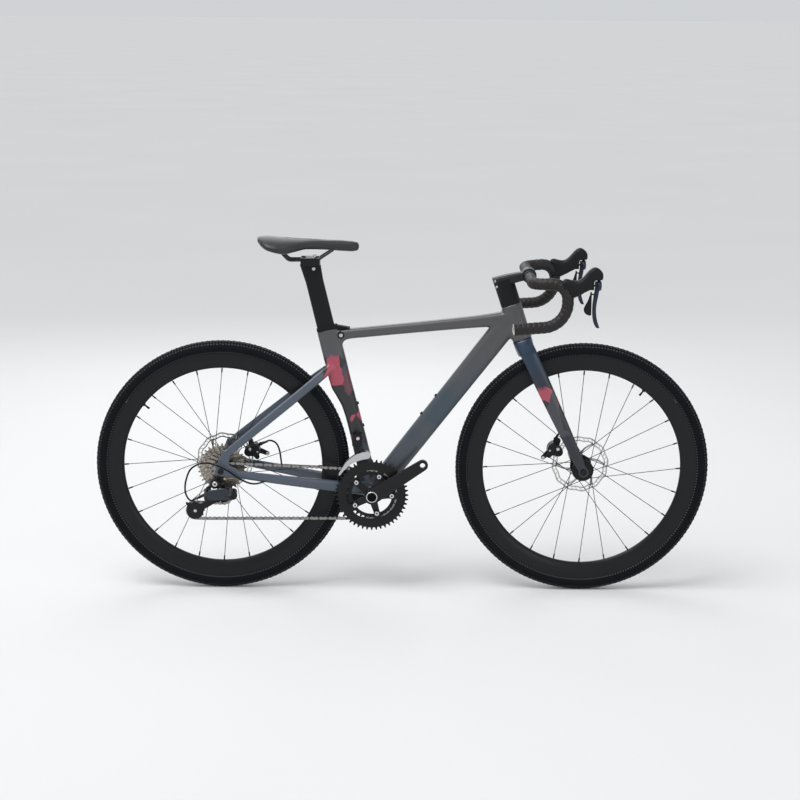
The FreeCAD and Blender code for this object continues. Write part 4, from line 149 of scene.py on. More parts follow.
class Shape:
    """One mesh gathered from grids of points in millimetres."""

    def __init__(self):
        self.points, self.faces, self.count = [], [], 0

    def add(self, points, faces):
        """Points with faces that count from the first of them."""
        self.points.append(np.asarray(points, float).reshape(-1, 3))
        self.faces += [[corner + self.count for corner in face] for face in faces]
        self.count += len(self.points[-1])
        return self

    def grid(self, points, wrap_u=False, wrap_v=True, caps=True):
        """Quads between the neighbours of a grid; open first and last rows get one flat face each."""
        rows, columns = points.shape[:2]
        index = np.arange(rows * columns).reshape(rows, columns)
        ends = [index[0].tolist()[::-1], index[-1].tolist()] if caps and wrap_v and not wrap_u else []
        index = np.vstack([index, index[:1]]) if wrap_u else index
        index = np.hstack([index, index[:, :1]]) if wrap_v else index
        quads = np.stack([index[:-1, :-1], index[:-1, 1:], index[1:, 1:], index[1:, :-1]], -1)
        return self.add(points, quads.reshape(-1, 4).tolist() + ends)

    def turned(self, profile, centre, along=Y, turns=96, closed=False):
        """Lathe work: an open profile starts and ends on the axis, a closed one is a ring."""
        return self.grid(lathe(profile, centre, along, turns), wrap_u=True, wrap_v=closed, caps=False)

    def rod(self, start, end, radius, turns=16):
        """Cylinder between two points, with its ends broken by a small chamfer."""
        length = np.linalg.norm(end - start)
        edge = min(0.12 * radius, 0.3 * length)
        return self.turned([(0, 0), (radius - edge, 0), (radius, edge), (radius, length - edge),
                            (radius - edge, length), (0, length)], start, (end - start) / length, turns)

    def both(self, points, **how):
        """A grid and its mirror image on the other side of the bike."""
        return self.grid(points, **how).grid(flip(points), **how)

    def mesh(self, name):
        """Blender mesh in metres, doubles merged and faces turned outwards."""
        made = bpy.data.meshes.new(name)
        made.from_pydata((np.vstack(self.points) * MM).tolist(), [], self.faces)
        work = bmesh.new()
        work.from_mesh(made)
        bmesh.ops.remove_doubles(work, verts=work.verts, dist=1e-6)
        bmesh.ops.dissolve_degenerate(work, edges=work.edges, dist=1e-7)
        bmesh.ops.recalc_face_normals(work, faces=work.faces)
        work.to_mesh(made)
        work.free()
        return made

    def put(self, name, body, material, *nodes, slot=None, sharp=35, bevel=0, mesh=None):
        """Object that rides on a body and stands for CAD nodes; bevel breaks its edges."""
        made = mesh or self.mesh(name)
        made.polygons.foreach_set("use_smooth", np.ones(len(made.polygons), bool))
        made.set_sharp_from_angle(angle=np.radians(sharp))
        made.materials.clear()
        made.materials.append(material)
        piece = linked(name, made)
        if bevel:
            break_edges(piece, bevel, sharp, True)
        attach(piece, body)
        if nodes:
            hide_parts(*nodes)
        return piece

    def welded(self, name, voxel, welds, rounds):
        """Mesh of the joined outside of all the solids, drawn smooth round the weld spots (x, y, z, reach)."""
        draft = linked(name, self.mesh(name))
        change = draft.modifiers.new("weld", "REMESH")
        change.mode, change.voxel_size = "VOXEL", voxel * MM
        made = bpy.data.meshes.new_from_object(draft.evaluated_get(bpy.context.evaluated_depsgraph_get()))
        bpy.data.objects.remove(draft)
        places = np.empty(len(made.vertices) * 3)
        made.vertices.foreach_get("co", places)
        places = places.reshape(-1, 3)
        ends = np.empty(len(made.edges) * 2, int)
        made.edges.foreach_get("vertices", ends)
        one, two = ends.reshape(-1, 2).T
        weld = np.asarray(welds, float) * MM
        near, mirrored = (np.linalg.norm(spots[:, None] - weld[None, :, :3], axis=2) / weld[:, 3]
                          for spots in (places, flip(places)))
        weight = np.exp(-np.minimum(near, mirrored).min(1) ** 2)[:, None]
        neighbours = np.bincount(ends, minlength=len(places))[:, None]
        for turn in range(rounds):
            total = np.zeros_like(places)
            np.add.at(total, one, places[two])
            np.add.at(total, two, places[one])
            places += (total / neighbours - places) * 0.5 * (1 if turn < EVEN_ROUNDS else weight)
        made.vertices.foreach_set("co", places.ravel())
        return made


class Wire:
    """A shader socket: sums on wires add Math nodes, and node() adds any other node."""

    def __init__(self, tree, socket=None):
        self.tree, self.socket = tree, socket

    def node(self, kind, settings=(), output=0, **sockets):
        """New node: settings first, then values or wires for its sockets, a colour ramp by its stops."""
        made = self.tree.nodes.new("ShaderNode" + kind)
        for name, value in dict(settings).items():
            if name == "stops":
                ramp = made.color_ramp.elements
                while len(ramp) < len(value):
                    ramp.new(0.5)
                for stop, (place, colour) in zip(ramp, value):
                    stop.position, stop.color = place, (*colour, 1)
            elif name == "interpolation":
                made.color_ramp.interpolation = value
            else:
                setattr(made, name, value)
        for name, value in sockets.items():
            key = int(name[1:]) if name[0] == "i" and name[1:].isdigit() else name.replace("_", " ")
            if isinstance(value, Wire):
                self.tree.links.new(value.socket, made.inputs[key])
            else:
                made.inputs[key].default_value = value
        return Wire(self.tree, made.outputs[output])

    def math(self, operation, *values):
        """One Math node."""
        return self.node("Math", {"operation": operation}, **{f"i{i}": value for i, value in enumerate(values)})

    def __add__(self, other):
        return self.math("ADD", self, other)

    def __sub__(self, other):
        return self.math("SUBTRACT", self, other)

    def __rsub__(self, other):
        return self.math("SUBTRACT", other, self)

    def __mul__(self, other):
        return self.math("MULTIPLY", self, other)

    __radd__, __rmul__ = __add__, __mul__

    def alone(self, operation):
        """One Math node of this wire only."""
        return self.math(operation, self)

    def step(self, low, high):
        """Smooth step from 0 at low to 1 at high."""
        return self.node("MapRange", {"interpolation_type": "SMOOTHSTEP"}, Value=self, From_Min=low,
                         From_Max=high)

    def place(self):
        """Object coordinates in metres."""
        return self.node("TexCoord", output="Object")

    def along(self, letter):
        """One coordinate of the place."""
        return self.node("SeparateXYZ", output=letter, Vector=self.place())

    def noise(self, scale, detail=3.0):
        """Cloudy noise."""
        return self.node("TexNoise", output="Fac", Vector=self.place(), Scale=scale, Detail=detail)

    def cells(self, scale, stretch=(1, 1, 1), turn=(0, 0, 0), metric="EUCLIDEAN", output="Distance"):
        """Voronoi cells; stretch multiplies the place along each axis."""
        spot = self.node("Mapping", Vector=self.place(), Scale=stretch, Rotation=turn)
        return self.node("TexVoronoi", {"distance": metric}, output, Vector=spot, Scale=scale)

    def mix(self, first, second):
        """Two colours mixed by this wire."""
        first, second = (colour if isinstance(colour, Wire) else (*colour, 1) for colour in (first, second))
        return self.node("Mix", {"data_type": "RGBA"}, 2, i0=self, i6=first, i7=second)

    def bump(self, depth, strength=1.0):
        """Normal from this wire as a height, depth in millimetres."""
        return self.node("Bump", Height=self, Distance=depth * MM, Strength=strength)


def material(name, paint):
    """Principled material whose sockets are what paint(wire) returns."""
    made = bpy.data.materials.new(name)
    made.use_nodes = True
    shader = made.node_tree.nodes["Principled BSDF"]
    for socket, value in paint(Wire(made.node_tree)).items():
        if isinstance(value, Wire):
            made.node_tree.links.new(value.socket, shader.inputs[socket])
        else:
            shader.inputs[socket].default_value = (*value, 1) if isinstance(value, tuple) else value
    return made


bottom_bracket, rear_axle, front_axle = map(pivot, ("crank_spin", "rear_wheel_spin", "front_wheel_spin"))
steer_up, seat_up = axis_of("steering"), axis_of("seat_height")
steer_ahead, seat_ahead = np.cross(Y, steer_up), np.cross(Y, seat_up)
fork_height, head_length, seat_setback, seat_length = 397, 101, 15.4, 467
steer_foot = pivot("steering") - steer_up * fork_height
seat_foot = bottom_bracket - X * seat_setback


def steer(height, ahead=0, left=0):
    """Point at a height along the steering axis, ahead of it and to its left."""
    return steer_foot + steer_up * height + steer_ahead * ahead + Y * left


def seat(height, ahead=0, left=0):
    """Point at a height along the seat tube's axis, ahead of it and to its left."""
    return seat_foot + seat_up * height + seat_ahead * ahead + Y * left


def straight(start, end, stations, half_side, half_face):
    """Stations of a straight tube from (way, side share, face share)."""
    return [(*(start + (end - start) * way), half_side * side, half_face * face)
            for way, side, face in stations]


rose, charcoal = (0.38, 0.062, 0.10), (0.016, 0.017, 0.019)
slate, wine = (0.045, 0.050, 0.062), (0.115, 0.042, 0.058)
warm_grey, steel_blue, stay_blue = (0.084, 0.082, 0.085), (0.044, 0.068, 0.092), (0.078, 0.098, 0.130)


def patches(wire, scale, turn):
    """Broken slanted patches in rose, charcoal and blue, picked cell by cell."""
    pick = wire.node("SeparateColor", Color=wire.cells(scale, (1.0, 0.25, 0.62), turn, "MANHATTAN", "Color"))
    stops = [(0, charcoal), (0.36, rose), (0.56, slate), (0.72, charcoal), (0.86, wine)]
    return wire.node("ValToRGB", {"interpolation": "CONSTANT", "stops": stops}, Fac=pick)


def frame_paint(wire):
    """Satin metallic grey that turns blue in clouds low down and towards the rear, patched on the seat tube."""
    x, z = wire.along("X"), wire.along("Z")
    off_axis = x - (z - seat_foot[2] * MM) * (seat_up[0] / seat_up[2]) - seat_foot[0] * MM
    on_seat = (1 - off_axis.alone("ABSOLUTE").step(0.034, 0.040)) * z.step(0.405, 0.425)
    on_seat = on_seat * (1 - (z + wire.noise(22) * 0.09).step(0.70, 0.715))
    low = 1 - z.step(0.60, 0.70)
    rearward = (0.0 - x).step(-0.05, 0.42) * low
    flake = wire.noise(2600, 1) * 0.12 + wire.noise(5, 2).step(0.42, 0.64) * low * 0.88
    base = rearward.mix(flake.mix(warm_grey, steel_blue), stay_blue)
    return {"Base Color": on_seat.mix(base, patches(wire, 24, (0, 0.9, 0))), "Metallic": 0.35 - on_seat * 0.2,
            "Roughness": 0.36 + wire.noise(40) * 0.08, "Coat Weight": 0.25, "Coat Roughness": 0.28,
            "Normal": wire.noise(900, 1).bump(0.02, 0.25)}


tubes = Shape()
head_half, head_depths = 24, ((0, 28), (0.5, 27.4), (1.004, 28))
tubes.grid(loft([(*steer(fork_height + way * head_length), depth, head_half) for way, depth in head_depths],
                steer_ahead, Y))
seat_rear, seat_front, seat_half = 27, 33, 15
seat_shares = ((0.0, 0.8, 0.8, 1.2), (0.07, 0.55, 0.95, 1.15), (0.16, 0.36, 1.06, 1.08),
               (0.27, 0.29, 1.08, 1.0), (0.42, 0.25, 1.06, 1.0), (0.53, 0.36, 1.03, 1.0),
               (0.60, 0.66, 1.01, 1.0), (0.66, 0.95, 1.0, 1.0), (0.80, 1.0, 1.0, 1.0), (1.0, 1.0, 1.0, 1.0))
tubes.grid(loft([(*seat(way * seat_length, (front * seat_front - rear * seat_rear) / 2),
                  (front * seat_front + rear * seat_rear) / 2, wide * seat_half)
                 for way, rear, front, wide in seat_shares], seat_ahead, Y, 120))
top_half, top_face = 17.5, 14.2
top_shares = ((0, 0.97, 0.98), (0.35, 1, 1), (0.78, 1.06, 1.14), (1, 1.15, 1.55))
top_rear, top_front = seat(0.960 * seat_length, 0.4 * seat_front), steer(fork_height + 0.636 * head_length, -12)
top_along = unit(top_front - top_rear)
top_up = np.cross(top_along, Y)
tubes.grid(loft(straight(top_rear, top_front, top_shares, top_half, top_face), Y, top_up, 60, power=3))
crook_back, crook_drop, fillet_reach, fillet_sink, fillet_half = 13.2, 13.9, 26, 9, 13
crook = top_rear + top_along * (seat_front - crook_back) / (top_along @ seat_ahead) - top_up * crook_drop
bend = np.linspace(0, 1, 12)[:, None]
fillet = ((1 - bend) ** 2 * (crook + top_along * fillet_reach) + 2 * bend * (1 - bend) * crook
          + bend ** 2 * (crook - seat_up * fillet_reach))
fillet = np.vstack([fillet, crook + (seat_up - top_along) * fillet_sink])
tubes.grid(np.stack([fillet - Y * fillet_half, fillet + Y * fillet_half]))
down_ahead, down_wide, down_half = 4.8, 23, 30.5
down_shares = ((0, 1.15, 0.9), (0.25, 1.08, 0.97), (0.6, 1, 1), (1, 0.95, 1.06))
down_foot, down_top = bottom_bracket + X * down_ahead, steer(fork_height + 0.70 * head_length)
down_along = unit(down_top - down_foot)
down_up = np.cross(down_along, Y)
tubes.grid(loft(straight(down_foot, down_top, down_shares, down_wide, down_half), Y, down_up, 90, power=2.8))
shell_half, shell_radius = 43, 24
tubes.rod(bottom_bracket - Y * shell_half, bottom_bracket + Y * shell_half, shell_radius, 64)
stay_tip = 75.85
stays = ((bottom_bracket + (-11, 0, 8), rear_axle + (35, 0, -7), 20, 7.8, 17,
          ((0, 0, 1, 1), (0.19, 0.205, 0.97, 0.95), (0.585, 0.667, 0.82, 0.95), (1, 1, 0.65, 0.55))),
         (seat(0.784 * seat_length, -6), rear_axle + (19, 0, 52), 10, 7, 12.6,
          ((0, 0, 1, 1), (0.21, 0.34, 1, 1), (0.62, 0.71, 0.96, 1), (1, 1, 0.88, 0.6))))
for root, tip, offset, half_wide, half_tall, shares in stays:
    rows = [(*(root + (tip - root) * way + Y * (offset + (stay_tip - offset) * side)), wide * half_wide,
             tall * half_tall) for way, side, tall, wide in shares]
    tubes.both(loft(rows, Y, np.cross(unit(tip - root), Y), 80, 28, 2.6, (0, 5)))
dropout_reach, dropout_low, dropout_high, eye_radius, axle_radius = 60, 71.35, 80.35, 16, 6
dropout_shares = np.array(((0.10, 1.02), (0.46, 0.78), (0.36, 0.30), (0.78, 0.12), (0.78, -0.30), (0.20, -0.30),
                           (-0.22, -0.22), (-0.26, 0.12)))
outline = rear_axle + np.insert(dropout_shares, 1, 0, axis=1) * dropout_reach
tubes.both(np.stack([outline + Y * dropout_low, outline + Y * dropout_high]))


def eye(inner, outer, low, high):
    """Section of a plain ring."""
    return [(inner, low), (outer, low), (outer, high), (inner, high)]


tubes.both(lathe(eye(axle_radius, eye_radius, dropout_low, dropout_high), rear_axle, turns=48), wrap_u=True)
frame_welds = ((seat(0.95 * seat_length, 26), 22), (steer(fork_height + 0.6 * head_length, -30), 30),
               (steer(fork_height + 0.2 * head_length, -32), 30), (bottom_bracket + (20, 0, 22), 26),
               (bottom_bracket + (-24, 18, 12), 22), (bottom_bracket + (0, 0, -22), 26),
               (seat(0.77 * seat_length, -28, 10), 20), (rear_axle + (30, 74, -4), 18),
               (rear_axle + (16, 74, 46), 16), (steer(fork_height + 0.62 * head_length, -75), 18))
tubes.put("frame_tubes", "frame", material("frame_paint", frame_paint), "head_tube", "top_tube", "down_tube",
          "seat_tube", "bottom_bracket_shell", "chainstays", "seatstays", slot="frame_paint", sharp=60,
          mesh=tubes.welded("frame_tubes", 2.2, [(*spot, reach) for spot, reach in frame_welds], 26))


# Frame fittings: turned bottle bosses with threaded holes, bearing cups, clamp bolt and hanger, all of
# aluminium and blacked or left bright; the cover over the seat clamp is moulded rubber.
def metal(colour, roughness):
    """Metal whose roughness wanders with a fine grain."""
    def paint(wire):
        return {"Base Color": wire.noise(90, 2).mix(colour, tuple(0.8 * part for part in colour)),
                "Metallic": 1.0, "Roughness": roughness + wire.noise(700, 2) * 0.1}
    return paint


def matt(colour, roughness, grain=400, depth=0.05, coat=0.0):
    """Paint, plastic or rubber with a fine leathery grain."""
    def paint(wire):
        return {"Base Color": wire.noise(60, 3).mix(colour, tuple(0.72 * part for part in colour)),
                "Roughness": roughness + wire.noise(120) * 0.12, "Specular IOR Level": 0.2,
                "Coat Weight": coat, "Coat Roughness": 0.2, "Normal": wire.noise(grain, 2).bump(depth, 0.6)}
    return paint


def dress(paint, *nodes, bevel=0.0, voxel=0.0, rounds=4):
    """CAD nodes as they are in a better material, edges broken by a bevel or rounded as a casting's are."""
    for node in nodes:
        piece = bpy.data.objects[node]
        piece.data.materials.clear()
        piece.data.materials.append(paint)
        if bevel or voxel:
            piece.modifiers.new("seams", "WELD").merge_threshold = 1e-5
        if bevel:
            break_edges(piece, bevel, 35, False)
        if voxel:
            skin = piece.modifiers.new("skin", "REMESH")
            skin.mode, skin.voxel_size, skin.use_smooth_shade = "VOXEL", voxel * MM, True
            soft = piece.modifiers.new("soft", "SMOOTH")
            soft.factor, soft.iterations = 0.5, rounds


def socket_head(shape, spot, radius, height, out=-Y):
    """Bolt head with a recess for the key."""
    profile = ((0, 0.3), (0.45, 0.3), (0.5, 1), (0.85, 1), (1, 0.8), (1, -1), (0, -1))
    return shape.turned([(across * radius, way * height) for across, way in profile], spot, out, 28)


bright_steel = material("bright_steel", metal((0.66, 0.66, 0.67), 0.20))
dark_steel = material("dark_steel", metal((0.06, 0.06, 0.064), 0.30))
black_anodised = material("black_anodised", matt((0.009, 0.009, 0.010), 0.34, 900, 0.02, 0.08))
black_rubber = material("black_rubber", matt((0.008, 0.008, 0.009), 0.58))
dress(bright_steel, "bottom_bracket_cups", "headset_bearings")
dress(black_anodised, "derailleur_hanger", "seat_clamp", "rear_axle", "front_axle")
dress(black_rubber, "seat_clamp_cover", voxel=0.8, rounds=2)
clamp_spot, clamp_head, grommet_radius, grommet_sink, grommet_lip = seat(445, 35.5, -17.5), 5, 9.5, 3, 0.8
Shape().turned([(clamp_head, -grommet_sink), (grommet_radius, -grommet_sink), (grommet_radius, grommet_lip / 4),
                (grommet_radius - grommet_lip, grommet_lip), (clamp_head, grommet_lip)],
               clamp_spot, -Y, 40, True).put("clamp_grommet", "frame", black_rubber, slot="rubber")
socket_head(Shape(), clamp_spot, clamp_head, 1.2).put("clamp_bolt", "frame", bright_steel, slot="steel")
boss_radius, boss_height, boss_hole, boss_sink, boss_edge, boss_lead = 4.5, 3, 2.1, 4, 0.5, 0.4
down_boss_ways, seat_boss_ways, seat_boss_ahead = (255, 319), (184, 248), 34.65
boss_feet = [(down_foot + down_along * way + down_up * down_half, down_up) for way in down_boss_ways]
boss_feet += [(seat(way, seat_boss_ahead), seat_ahead) for way in seat_boss_ways]
bosses = Shape()
for foot, out in boss_feet:
    bosses.turned([(boss_hole, -boss_sink), (boss_radius, -boss_sink), (boss_radius, boss_height - boss_edge),
                   (boss_radius - boss_edge, boss_height), (boss_hole + boss_lead, boss_height),
                   (boss_hole, boss_height - boss_lead)], foot, out, 32, True)
bosses.put("bottle_bosses", "frame", black_anodised, slot="black_alloy")


# Fork: carbon crown and legs moulded in one, painted deep blue at the crown and fading to charcoal down the
# legs, with the same broken patches at mid leg. The crown is hollowed to clear the tyre.
def fork_paint(wire):
    """Blue crown, charcoal legs, patches between a third and two thirds of the leg."""
    x, z = wire.along("X"), wire.along("Z")
    height = (x - steer_foot[0] * MM) * steer_up[0] + (z - steer_foot[2] * MM) * steer_up[2]
    wander = wire.noise(18) * 0.05
    band = (height + wander).step(0.135, 0.150) * (1 - (height + wander).step(0.275, 0.295))
    base = height.step(0.22, 0.36).mix((0.017, 0.018, 0.025), (0.009, 0.032, 0.066))
    base = (wire.noise(2600, 1) * 0.5).mix(base, (0.028, 0.034, 0.052))
    return {"Base Color": band.mix(base, patches(wire, 21, (0, -0.35, 0))), "Metallic": 0.35 - band * 0.2,
            "Roughness": 0.33 + wire.noise(40) * 0.08, "Coat Weight": 0.3, "Coat Roughness": 0.25}


fork_rake, crown_height, crown_deep, crown_wide, crown_clear = 50, 43, 27, 25, 357
crown_shares = ((0, 0.88, 1.82), (0.6, 0.97, 1.36), (1, 1, 1))
crown = loft([(*steer(fork_height - (1 - way) * crown_height), deep * crown_deep, wide * crown_wide)
              for way, deep, wide in crown_shares], steer_ahead, Y, 30, 48, 2.6)
from_axle = (crown - front_axle) * MID
reach = np.linalg.norm(from_axle, axis=2, keepdims=True)
legs = Shape().grid(crown + from_axle * (np.maximum(reach, crown_clear) / reach - 1))
leg_deep, leg_wide, leg_root, leg_tip, tip_height = 23.5, 9.5, 35.5, 56.15, 10
leg_shares = ((0.985, -0.9, 1, 0.6), (0.94, -0.36, 1, 0.92), (0.88, 0, 1, 1), (0.79, 0.13, 0.98, 0.95),
              (0.43, 0.58, 0.83, 0.84), (0.17, 0.90, 0.66, 0.68), (tip_height / fork_height, 1, 0.57, 0.61))
legs.both(loft([(*steer(way * fork_height, fork_rake * (1 - way), leg_root + (leg_tip - leg_root) * side),
                 deep * leg_deep, wide * leg_wide) for way, side, deep, wide in leg_shares],
               steer_ahead, Y, 90, 32, 2.5))
end_low, end_high, end_radius = 50.35, 61.85, 14
legs.both(lathe(eye(axle_radius, end_radius, end_low, end_high), front_axle, turns=48), wrap_u=True)
fork_welds = [(*steer(346, 0, 34), 46), (*steer(16, fork_rake, 56), 16)]
legs.put("fork_blades", "fork", material("fork_paint", fork_paint), "fork_crown", "fork_legs",
         slot="fork_paint", sharp=60, mesh=legs.welded("fork_blades", 1.7, fork_welds, 44))


# Stem and bar: forged aluminium stem on a moulded spacer, with a drop bar of bent tube in its clamp. Each
# half of the bar is wound from the end plug upwards in cushioned tape, so each turn overlaps the last.
def rounded(points, bends, step):
    """Line through points whose corners are arcs, sampled every step."""
    points, line = np.asarray(points, float), []
    for before, corner, after, bend in zip(points, points[1:], points[2:], bends):
        one, two = unit(before - corner), unit(after - corner)
        half = np.arccos(one @ two) / 2
        start, centre = corner + one * bend / np.tan(half), corner + unit(one + two) * bend / np.sin(half)
        turn = np.linspace(0, np.pi - 2 * half, 24)
        line.append(centre + np.outer(np.cos(turn), start - centre) - np.outer(np.sin(turn), one) * bend)
    return spaced(np.vstack([points[:1], *line, points[-1:]]), step)


def spaced(line, step):
    """The same line with its points evenly spaced."""
    along = travelled(line)
    at = np.linspace(0, along[-1], int(along[-1] / step) + 1)
    return np.stack([np.interp(at, along, column) for column in line.T], 1)


def swept(line, radius, lean, sides):
    """Tube round a line; lean is a vector that the line never runs along, radius one value or a grid."""
    heading = unit(np.gradient(line, axis=0))
    side = unit(np.cross(heading, lean))
    turn = np.linspace(0, 2 * np.pi, sides, endpoint=False)
    ring = side[:, None] * np.cos(turn)[:, None] + np.cross(heading, side)[:, None] * np.sin(turn)[:, None]
    return line[:, None] + ring * np.broadcast_to(radius, (len(line), sides))[..., None]


def tape_face(wire):
    """Black cushioned tape with a brown tinge and a pebbled face."""
    return {"Base Color": wire.noise(35, 3).mix((0.008, 0.0066, 0.0062), (0.015, 0.0122, 0.011)),
            "Roughness": 0.5, "Specular IOR Level": 0.36, "Normal": wire.cells(420).bump(0.25, 0.5)}


stem_grey = material("stem_grey", matt((0.022, 0.023, 0.026), 0.36, 900, 0.02, 0.15))
spacer_black = material("spacer_black", matt((0.009, 0.009, 0.010), 0.46, 900, 0.02))
dress(stem_grey, "stem", voxel=0.9, rounds=6)
dress(spacer_black, "headset_spacer", bevel=0.6)
dress(spacer_black, "handlebar")
lever_offset = 199
bar_points = np.array(((0, -58, 0), (0, -178, 0), (89, -lever_offset, 5), (89, -207, -105),
                       (-52, -215, -115)), float)
bar_bends, bar_step, bar_lean = (40, 40, 66), 1.4, unit(np.array((1, 1, -1)))
bar_line = rounded(steer(560, 70) + bar_points, bar_bends, bar_step)
tape_radius, tape_rise, tape_pitch, tape_sides, tape_lap, tape_drop = 15.6, 2.0, 14, 28, 1.2, 2.1
winding = np.arange(len(bar_line))[:, None] * bar_step / tape_pitch + np.arange(tape_sides) / tape_sides
crest = 1 - np.abs(2 * (winding % 1) - tape_lap).clip(0, tape_lap) ** 4 / tape_drop
tape = swept(bar_line, tape_radius - tape_rise + tape_rise * crest, bar_lean, tape_sides)
Shape().both(tape).put("bar_tape_wound", "fork", material("bar_tape", tape_face), "bar_tape", slot="tape",
                       sharp=80)
plug_radius = tape_radius - 0.4
plug_face = [(0, 4), (5, 4), (5.5, 3.4), (9, 3.4), (12.5, 2.6), (plug_radius, 1), (plug_radius, 0), (0, 0)]
plugs = lathe(plug_face, bar_line[-1], unit(bar_line[-1] - bar_line[-2]), 48)
Shape().both(plugs, wrap_u=True, wrap_v=False, caps=False).put("bar_plugs", "fork", bright_steel, slot="steel")
stem_bolts, stem_bolt_back, stem_bolt_right = Shape(), 23, 17
for height in (558, 574):
    socket_head(stem_bolts, steer(height, -stem_bolt_back, -stem_bolt_right), 3.2, 1.1)
stem_bolts.put("stem_bolts", "fork", bright_steel, slot="steel")


# Brake and shift levers: rubber hoods over moulded bodies, cast aluminium blades with round heads under the
# hoods' noses, and plastic shift paddles behind them, each on its own pin.
# The blades and heads are black alloy; the blue tint in their colour is a painted reflection of the sky.
lever_blue = material("lever_blue", matt((0.011, 0.019, 0.038), 0.24, 900, 0.015, 0.3))
paddle_black = material("paddle_black", matt((0.008, 0.008, 0.009), 0.4, 900, 0.02))
dress(material("hood_rubber", matt((0.008, 0.009, 0.011), 0.44)), "brake_hoods", voxel=1.6, rounds=36)
swing_height, head_radius, head_back, head_front, head_edge = 888.4, 13.8, 502.8, 514, 0.8
head_face = [(0, head_front), (head_radius - 3.5, head_front - 0.4), (head_radius - 1.2, head_front - 1.7),
             (head_radius, head_front - 4), (head_radius, head_back + head_edge),
             (head_radius - head_edge, head_back), (0, head_back)]
for sign, side in ((-1, "right"), (1, "left")):
    dress(lever_blue, "brake_lever_" + side, voxel=0.7, rounds=5)
    Shape().turned(head_face, np.array((0, sign * lever_offset, swing_height)), X, 48).put(
        "lever_head_" + side, "brake_lever_" + side, lever_blue, slot="black_alloy", sharp=50)
    dress(paddle_black, "shift_paddle_" + side, voxel=0.6)
    dress(paddle_black, "lever_carrier_" + side, bevel=0.5)


# Saddle, rails and post: foam padding under a stitched cover on a moulded base, two bent rails held by a
# two-bolt clamp, on an aero post of satin black alloy.
def cover_paint(wire):
    """Black cover with a fine grain and a smoother strip along the middle."""
    middle = 1 - wire.along("Y").alone("ABSOLUTE").step(0.008, 0.014)
    return {"Base Color": wire.noise(50).mix((0.008, 0.008, 0.009), (0.014, 0.014, 0.015)),
            "Roughness": 0.44 - middle * 0.10, "Specular IOR Level": 0.55,
            "Normal": wire.cells(900).bump(0.06, 0.5)}


post_top = seat(650)
saddle_length, saddle_half, saddle_deep, saddle_start, saddle_rise, saddle_droop = 272, 72, 40, 140, 36, 10
saddle_shares = ((0, 0.40, 0.98, 0.62), (0.035, 0.70, 1.02, 0.40), (0.10, 0.95, 1.03, 0.20),
                 (0.18, 1, 0.99, 0.05), (0.26, 0.95, 0.95, -0.06), (0.36, 0.78, 0.91, 0.05),
                 (0.48, 0.53, 0.88, 0.19), (0.65, 0.34, 0.85, 0.15), (0.82, 0.27, 0.80, 0.07),
                 (0.93, 0.24, 0.74, 0.04), (0.97, 0.20, 0.68, 0.08))
saddle_foot = post_top * MID + (-saddle_start, 0, saddle_rise)
saddle_rows = [(*(saddle_foot + (way * saddle_length, 0, (top + low) / 2 * saddle_deep)), wide * saddle_half,
                (top - low) / 2 * saddle_deep) for way, wide, top, low in saddle_shares]
cushion = loft(saddle_rows, Y, Z, 110, 64, 2.3, (3, 8))
groove_half, groove_middle, groove_reach, groove_depth = 7, 0.45, 0.24, 4.5
share = (cushion[..., 0] - saddle_foot[0]) / saddle_length
groove = groove_depth * np.exp(-(cushion[..., 1] / groove_half) ** 2
                               - ((share - groove_middle) / groove_reach) ** 4)
cushion[..., 2] -= np.where(cushion[..., 2] > cushion[..., 2].mean(1, keepdims=True), groove, 0)
cushion[..., 2] -= saddle_droop * (cushion[..., 1] / saddle_half) ** 2
saddle = Shape().grid(cushion).put("saddle_cushion", "seatpost", material("saddle_cover", cover_paint),
                                   "saddle", slot="saddle_cover", sharp=70)
dress(dark_steel, "saddle_rails")
dress(black_anodised, "saddle_clamp", bevel=0.6)
dress(material("post_black", matt((0.009, 0.009, 0.010), 0.42, 900, 0.02)), "seatpost")
post_bolts = socket_head(Shape(), post_top + (9, -11.9, -9.5), 4.4, 1.2)
socket_head(post_bolts, post_top + (12, -15, 27), 4.5, 3, Z)
post_bolts.put("post_bolts", "seatpost", bright_steel, slot="steel")


# Wheels: folded gravel tyres with a file tread and small shoulder knobs, on deep rims of rolled aluminium,
# black spokes and turned hubs. Both wheels have a ventilated steel rotor on their left.
def tyre_paint(axle):
    """Black rubber: a file tread of small diamonds on the crown, plain sidewalls with moulded rings."""
    def paint(wire):
        y, rows, columns = wire.along("Y"), 130, 400
        angle = wire.math("ARCTAN2", wire.along("Z") - axle[2] * MM, wire.along("X") - axle[0] * MM)
        first, second = ((angle * rows + y * sign * columns).alone("SINE") for sign in (1, -1))
        crown = 1 - y.alone("ABSOLUTE").step(0.0155, 0.0175)
        tread = first * second * crown
        rings = (y * 4200).alone("SINE") * (1 - crown) * 0.15
        plain = wire.noise(24, 4).mix((0.0022, 0.0027, 0.0045), (0.0045, 0.0055, 0.0085))
        return {"Base Color": tread.step(0.2, 0.7).mix(plain, (0.060, 0.061, 0.063)),
                "Specular IOR Level": 0.12, "Roughness": 0.60 + wire.noise(60) * 0.15,
                "Normal": (tread + rings).bump(0.5, 0.9)}
    return paint


def rim_paint(wire):
    """Dark grey satin with a faint turned grain; the faint blue tint in it is a painted sky sheen."""
    return {"Base Color": wire.noise(8, 3).mix((0.005, 0.0052, 0.007), (0.008, 0.0085, 0.011)),
            "Specular IOR Level": 0.22, "Roughness": 0.36 + wire.noise(300, 2) * 0.12, "Coat Weight": 0.06}


def repeat(shape, blocks, faces):
    """Many copies of one small shape: blocks is copies by corners by three."""
    copies, corners = blocks.shape[:2]
    quads = (np.asarray(faces)[None] + corners * np.arange(copies)[:, None, None]).reshape(-1, len(faces[0]))
    return shape.add(blocks.reshape(-1, 3), quads.tolist())


